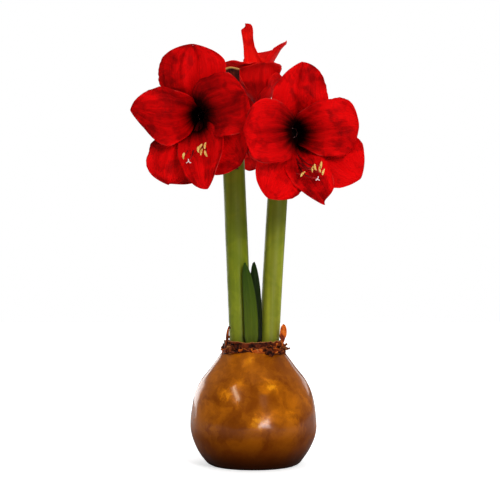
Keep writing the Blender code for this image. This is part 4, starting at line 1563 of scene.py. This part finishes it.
def wax_glow(tree, bent):
    """The sum of the bright patches. They move with the bent place, whose clouds are 0.5 on average."""
    glow = 0.0
    for spot, reach, strength in WAX_PATCHES:
        away = tree.nodes.new("ShaderNodeVectorMath")
        away.operation = "DISTANCE"
        feed(tree, away.inputs[0], bent)
        away.inputs[1].default_value = Vector(spot) * MM + Vector((0.5, 0.5, 0.5)) * WAX_WARP
        patch = between(tree, away.outputs["Value"], 0.1 * reach * MM, 1.6 * reach * MM, strength, 0.0)
        glow = sums(tree, "ADD", glow, patch)
    return glow


print("bright patches:", len(WAX_PATCHES))

# %% Build the wax finish
WAX_GLOSS = 0.75
# Heights in mm. The gloss grows between the first two, and a painted shade fades out between each other pair.
GLOSS_BEGINS = (26.0, 52.0)
PAINTED_SHADE_ENDS = (4.0, 62.0)
FOOT_SHADE_ENDS = (0.0, 22.0)


def wax_step(tree, height, limits, start, end):
    """A soft step between two heights on the wax."""
    return between(tree, height, limits[0] * MM, limits[1] * MM, start, end)


def build_wax_finish():
    """Brown to orange by its swirls and patches, with a painted shade that darkens it near the foot, where it
    is also duller.
    """
    finish, tree, surface = new_finish(
        "copper_wax", Coat_Roughness=0.16, Metallic=0.05, Specular_IOR_Level=0.02
    )
    place = here(tree)
    height = axes(tree, place)[2]
    bent = bent_place(tree)
    swirl = clouds(tree, bent, 42.0, 6.0, 0.6, 0.5)
    # The patches glow through the swirls, and the swirls glow a little by themselves.
    heat = times(tree, wax_glow(tree, bent), between(tree, swirl, 0.36, 0.62, 0.35, 1.0))
    heat = sums(tree, "MULTIPLY_ADD", heat, 0.75, between(tree, swirl, 0.30, 0.70, 0.06, 0.56))
    colour = ramp(
        tree, heat,
        (0.05, shade(134, 64, 4)), (0.35, shade(176, 94, 8)),
        (0.60, shade(208, 116, 10)), (1.0, shade(250, 162, 22)),
    )
    # Two painted shades darken the foot, one over the other.
    dark = wax_step(tree, height, PAINTED_SHADE_ENDS, 1.0, 0.0)
    colour = blend(tree, times(tree, dark, 0.95), colour, shade(82, 31, 0))
    low = wax_step(tree, height, FOOT_SHADE_ENDS, 1.0, 0.0)
    colour = blend(tree, times(tree, low, 0.85), colour, shade(34, 9, 0))
    feed(tree, surface["Base Color"], colour)
    feed(tree, surface["Coat Weight"], wax_step(tree, height, GLOSS_BEGINS, 0.0, WAX_GLOSS))
    feed(tree, surface["Roughness"], between(tree, swirl, 0.3, 0.7, 0.36, 0.5))
    # Fine pores, and on top of them the slow waves of a dipped coat.
    fine = relief(tree, clouds(tree, place, 900.0, 2.0), 0.02)
    feed(tree, surface["Normal"], relief(tree, clouds(tree, place, 70.0, 2.0), 0.35, fine))
    return finish


copper_wax = build_wax_finish()
print("wax finish:", copper_wax.name)

# %% Make the coat of wax
WAX_OUTLINE = (
    (40.0, 0.0), (44.5, 3.0), (52.5, 14.5), (57.8, 28.0), (59.2, 41.0),
    (56.0, 61.0), (49.0, 78.0), (38.5, 92.0), (30.6, 103.0),
)
WAX_SOLE = ((0.0, 0.0), (20.0, 0.0), (34.0, 0.0), (38.6, 0.0))
NECK_RADIUS = 26.0
WAX_LIP = ((29.6, 103.5), (28.4, 103.5), (NECK_RADIUS + 1.2, 103.0))
WAX_WALL = 3.0
WAX_ROWS = 72
WAX_TURNS = 144
WAX_DENT = 0.7
# The coat's edge rises in front, at this direction and over this angle.
WAX_CREST = 2.6
CREST_SIDE = Vector((-0.1, -1.0, 0.0))
CREST_REACH = 0.65

outline = curve_through([Vector(point) for point in WAX_OUTLINE], WAX_ROWS)
outer = [(point.x, point.y) for point in outline]
inner = [(radius - WAX_WALL, height) for radius, height in outer[6:-6:3]]
profile = [*WAX_SOLE, *outer, *WAX_LIP, *reversed(inner)]
profile += [(outer[0][0] - WAX_WALL, WAX_WALL), (0.0, WAX_WALL)]
coat = turned(profile, WAX_TURNS)
for vert in coat.verts:
    height = vert.co.z / MM
    away = Vector((vert.co.x, vert.co.y, 0.0)).normalized()
    dent = uneven(*(vert.co * 34.0)) + 0.35 * uneven(*(vert.co * 90.0))
    vert.co += away * WAX_DENT * MM * dent * smooth(height, 1.0, 12.0)
    crest = WAX_CREST * bump_at(away.angle(CREST_SIDE, math.pi), 0.0, CREST_REACH)
    crest += 0.6 * uneven(3.0 * away.x, 3.0 * away.y, 4.0)
    vert.co.z += crest * MM * smooth(height, 84.0, 103.0)
place_piece("copper_coat", coat, [copper_wax], ["wax_coat"])
print("wax coat:", len(profile), "points spun into", WAX_TURNS, "turns")

# %% [markdown]
# ## The neck of the bulb
#
# Inside the coat sits the bulb, and all that shows of it is the top of its neck, between the stalks. It
# is made of the cut or withered tops of its inner scales, which lie one in the other like the rings of an
# onion. The bulb is turned like the wax, 0.4 mm inside it, and its rings are a wave in the outline.

# %% Build the finish of the bulb
RING_SPACING = 2.6


def build_bulb_finish():
    """Brown and pale by turns from ring to ring, with blotches."""
    finish, tree, surface = new_finish("bulb_rings", Roughness=0.6, Specular_IOR_Level=0.25)
    place = here(tree)
    flat = tree.nodes.new("ShaderNodeVectorMath")
    flat.operation = "LENGTH"
    feed(tree, flat.inputs[0], stretched(tree, place, (1.0, 1.0, 0.0)))
    spots = use_effect(tree, BLOTCHES, Place=place, Scale=170.0)
    wave = sums(tree, "SINE", times(tree, flat.outputs["Value"], math.tau / (RING_SPACING * MM)))
    height = sums(tree, "MULTIPLY_ADD", wave, 0.25, times(tree, spots["Blotch"], 0.6))
    browns = (0.0, shade(62, 34, 14)), (0.4, shade(128, 84, 40)), (0.85, shade(196, 160, 96))
    colour = ramp(tree, height, *browns)
    feed(tree, surface["Base Color"], colour)
    feed(tree, surface["Normal"], relief(tree, spots["Grain"], 0.3))
    return finish


bulb_rings = build_bulb_finish()
print("bulb finish:", bulb_rings.name)

# %% Make the bulb
BULB_GAP = 0.4
BULB_TURNS = 96
BULB_SHOULDER = 101.0
RING_HEIGHT = 0.7
RING_POINTS = 24

neck_edge = NECK_RADIUS - BULB_GAP
bulb_profile = [(0.0, WAX_WALL + BULB_GAP), (outer[0][0] - WAX_WALL - 1.0, WAX_WALL + BULB_GAP)]
bulb_profile += [(radius - WAX_WALL - BULB_GAP, height) for radius, height in outer[9:-10:3]]
bulb_profile += [(neck_edge, BULB_SHOULDER), (neck_edge, NECK_TOP - 1.5)]
for number in range(RING_POINTS - 1, -1, -1):
    radius = neck_edge * number / RING_POINTS
    bulb_profile.append((radius, NECK_TOP - RING_HEIGHT * (1.0 + math.sin(math.tau * radius / RING_SPACING))))
flesh = turned(bulb_profile, BULB_TURNS)
place_piece("bulb_body", flesh, [bulb_rings], ["bulb"])
print("bulb:", len(bulb_profile), "points spun into", BULB_TURNS, "turns")

# %% [markdown]
# ## The papery neck
#
# Above the wax the old outer scales of the bulb stick out as a torn, crumpled brown ring. Some strips
# stand up, some curl over, and some are rolled into dark knots. The ring is three thin sheets, one in
# the other, with torn tops. Each strip is a small sheet that bends outward or inward as it rises, and the
# knots are crumpled balls. The big strips are listed one by one. The small ones are drawn at random from
# a fixed seed, so that they are the same in every run.

# %% Build the finishes of the neck
scale_brown = build_paper_finish(
    "scale_brown", shade(218, 108, 34), shade(150, 60, 14), shade(50, 14, 4), 90.0
)
scale_orange = build_paper_finish(
    "scale_orange", shade(246, 132, 44), shade(212, 94, 22), shade(124, 42, 8), 90.0
)
scale_tan = build_paper_finish(
    "scale_tan", shade(206, 136, 76), shade(146, 72, 26), shade(66, 24, 8), 110.0
)
scale_dark = build_paper_finish(
    "scale_dark", shade(150, 72, 32), shade(66, 20, 10), shade(24, 8, 4), 150.0
)
scale_rim = build_paper_finish(
    "scale_rim", shade(120, 48, 18), shade(62, 20, 8), shade(30, 8, 4), 110.0, shade(214, 136, 78), 0.93
)
print("finishes:", scale_brown.name, scale_orange.name, scale_tan.name, scale_dark.name, scale_rim.name)

# %% Make the torn rings
RING_GRID = (14, 300)
RINGS = (
    dict(name="scale_ring_outer", radius=29.2, foot=102.8, height=5.6, tear=2.6, seed=1.0),
    dict(name="scale_ring_middle", radius=27.9, foot=103.3, height=7.4, tear=3.0, seed=5.0),
    dict(name="scale_ring_inner", radius=26.6, foot=103.6, height=11.6, tear=1.3, seed=9.0),
)
RING_FINISHES = (scale_brown, scale_dark, scale_rim)
RING_THICKNESS = 0.5


def ring_place(ring):
    """A low wall round the neck, with a torn top and unevenness of three sizes."""
    seed = ring["seed"]

    def place(u, v):
        x, y = math.cos(math.pi * v), math.sin(math.pi * v)
        tears = uneven(2.5 * x, 2.5 * y, seed) + 0.8 * uneven(8.0 * x, 8.0 * y, seed)
        torn = ring["height"] + ring["tear"] * tears + 0.3 * uneven(26.0 * x, 26.0 * y, seed)
        radius = ring["radius"] + 2.4 * u * uneven(4.0 * x, 4.0 * y, seed + 3.0)
        radius += 1.3 * uneven(8.0 * x, 8.0 * y, 3.0 * u + seed) + 0.15 * uneven(22.0 * x, 22.0 * y, 8.0 * u)
        height = ring["foot"] + u * torn
        return Vector((radius * x, radius * y, height))

    return place


for ring, finish in zip(RINGS, RING_FINISHES):
    strip = sheet(RING_GRID, ring_place(ring))
    place_piece(ring["name"], strip, [finish], ["papery_neck"], RING_THICKNESS, closed=False)
print("torn rings:", len(RINGS))

# %% Shape a torn strip
STRIP_RADIUS = 27.4
STRIP_FOOT = 105.0
STRIP_ROWS = 40


def strip_place(side, width, length, lean, bend, twist, waist):
    """A torn strip that bends outward or inward as it rises, and twists on the way."""
    out, around = plant_side(side)
    root = out * (STRIP_RADIUS + 1.5 * uneven(side, 0.2, 0.4)) + STRIP_FOOT * UP
    # Its middle line starts with the lean and bends by more and more on the way up.
    line = [root]
    for step in range(1, STRIP_ROWS + 1):
        way = math.radians(lean + bend * (step / STRIP_ROWS) ** 1.5)
        rising = math.sin(way) * out + math.cos(way) * UP
        line.append(line[-1] + rising * length / STRIP_ROWS)

    def place(u, v):
        step = min(int(u * STRIP_ROWS), STRIP_ROWS - 1)
        middle = line[step].lerp(line[step + 1], u * STRIP_ROWS - step)
        way = (line[step + 1] - line[step]).normalized()
        across = Matrix.Rotation(math.radians(twist) * u, 3, way) @ around
        face = way.cross(across)
        torn = 1.0 + 0.25 * uneven(5.0 * u, side, 3.0 * (v > 0))
        half = width * torn * mix(waist, 1.0, smooth(u, 0.25, 0.6)) * max(1.0 - u**4, 0.0) ** 0.6
        cup = -0.35 * width * v * v + 0.8 * uneven(3.0 * u, 2.5 * v, side)
        cup += 0.5 * uneven(7.0 * u, 6.0 * v, side)
        return middle + across * v * half + face * cup

    return place


print("a strip bends in", STRIP_ROWS, "steps")

# %% Make the torn strips
STRIP_GRID = (26, 12)
STRIP_COUNT = 26
STRIP_SEED = 11
STRIP_THICKNESS = 0.35
STRIP_FINISHES = (scale_orange, scale_tan, scale_dark, scale_brown)
# Side, half width, length, lean, bend, twist, and share of the width at the root. Angles are in degrees.
BIG_STRIPS = (
    (-20.0, 4.8, 26.5, 0.0, 10.0, -46.0, 0.25),
    (-30.0, 4.4, 12.0, 20.0, 130.0, -40.0, 0.8),
    (-42.0, 4.2, 10.0, 30.0, 120.0, 30.0, 1.0),
    (208.0, 1.7, 23.5, 0.0, -12.0, 50.0, 0.8),
    (-52.0, 3.6, 9.0, 40.0, 100.0, 20.0, 1.0),
    (222.0, 3.6, 9.0, 10.0, 70.0, 40.0, 1.0),
    (236.0, 4.0, 9.0, 30.0, 120.0, 10.0, 1.0),
    (60.0, 5.0, 13.0, 5.0, 60.0, 20.0, 1.0),
    (130.0, 4.6, 15.0, 0.0, 50.0, -20.0, 0.6),
)

draw = random.Random(STRIP_SEED)
strips = list(BIG_STRIPS)
for number in range(STRIP_COUNT):
    side = 360.0 * (number + draw.uniform(-0.35, 0.35)) / STRIP_COUNT
    strips.append((
        side, draw.uniform(1.6, 3.6), draw.uniform(4.0, 9.5), draw.uniform(-25.0, 45.0),
        draw.uniform(-60.0, 150.0), draw.uniform(-70.0, 70.0), draw.uniform(0.6, 1.2),
    ))
for number, sizes in enumerate(strips):
    finish = STRIP_FINISHES[number % len(STRIP_FINISHES)]
    strip = sheet(STRIP_GRID, strip_place(*sizes))
    name = f"scale_strip_{number + 1}"
    place_piece(name, strip, [finish], ["papery_neck"], STRIP_THICKNESS, closed=False)
print("torn strips:", len(strips))

# %% Make the knots
# Side in degrees, distance from the middle, height and size.
KNOTS = (
    (228.0, 27.6, 109.0, 3.8), (240.0, 28.6, 110.0, 2.8), (218.0, 28.4, 108.0, 2.2),
    (298.0, 30.0, 106.5, 4.2), (330.0, 29.6, 107.5, 3.0), (344.0, 29.0, 105.0, 2.0),
    (208.0, 25.6, 128.0, 1.2), (207.0, 26.2, 119.5, 1.2), (20.0, 28.2, 108.0, 3.2),
    (75.0, 28.2, 109.0, 3.6), (150.0, 28.2, 108.0, 3.4), (184.0, 26.6, 108.5, 2.6),
)
KNOT_SHARE = Vector((1.0, 0.8, 1.0))
KNOT_FINENESS = 5


def knot_shape(side, distance, height, size):
    """A ball of dry skin, crumpled by unevenness at three scales."""
    turn = math.radians(side)
    knot = new_shape()
    bmesh.ops.create_icosphere(knot, subdivisions=KNOT_FINENESS, radius=1.0)
    along = knot.verts.layers.float["along"]
    for vert in knot.verts:
        way = vert.co.copy()
        size_here = 1.0 + 0.5 * uneven(*(1.4 * way + Vector((side, 0.0, 0.0))))
        size_here += 0.35 * uneven(*(3.5 * way))
        size_here += 0.25 * abs(uneven(*(7.0 * way)))
        vert[along] = 0.55 + 0.3 * uneven(*(3.0 * way))
        vert.co = way * KNOT_SHARE * size_here * size * MM
    bmesh.ops.rotate(knot, verts=knot.verts, cent=(0, 0, 0), matrix=Matrix.Rotation(turn, 3, "Z"))
    middle = Vector((distance * math.cos(turn), distance * math.sin(turn), height))
    bmesh.ops.translate(knot, verts=knot.verts, vec=middle * MM)
    return knot


for number, knot in enumerate(KNOTS, 1):
    place_piece(f"scale_knot_{number}", knot_shape(*knot), [scale_dark], ["papery_neck"])
print("knots:", len(KNOTS))
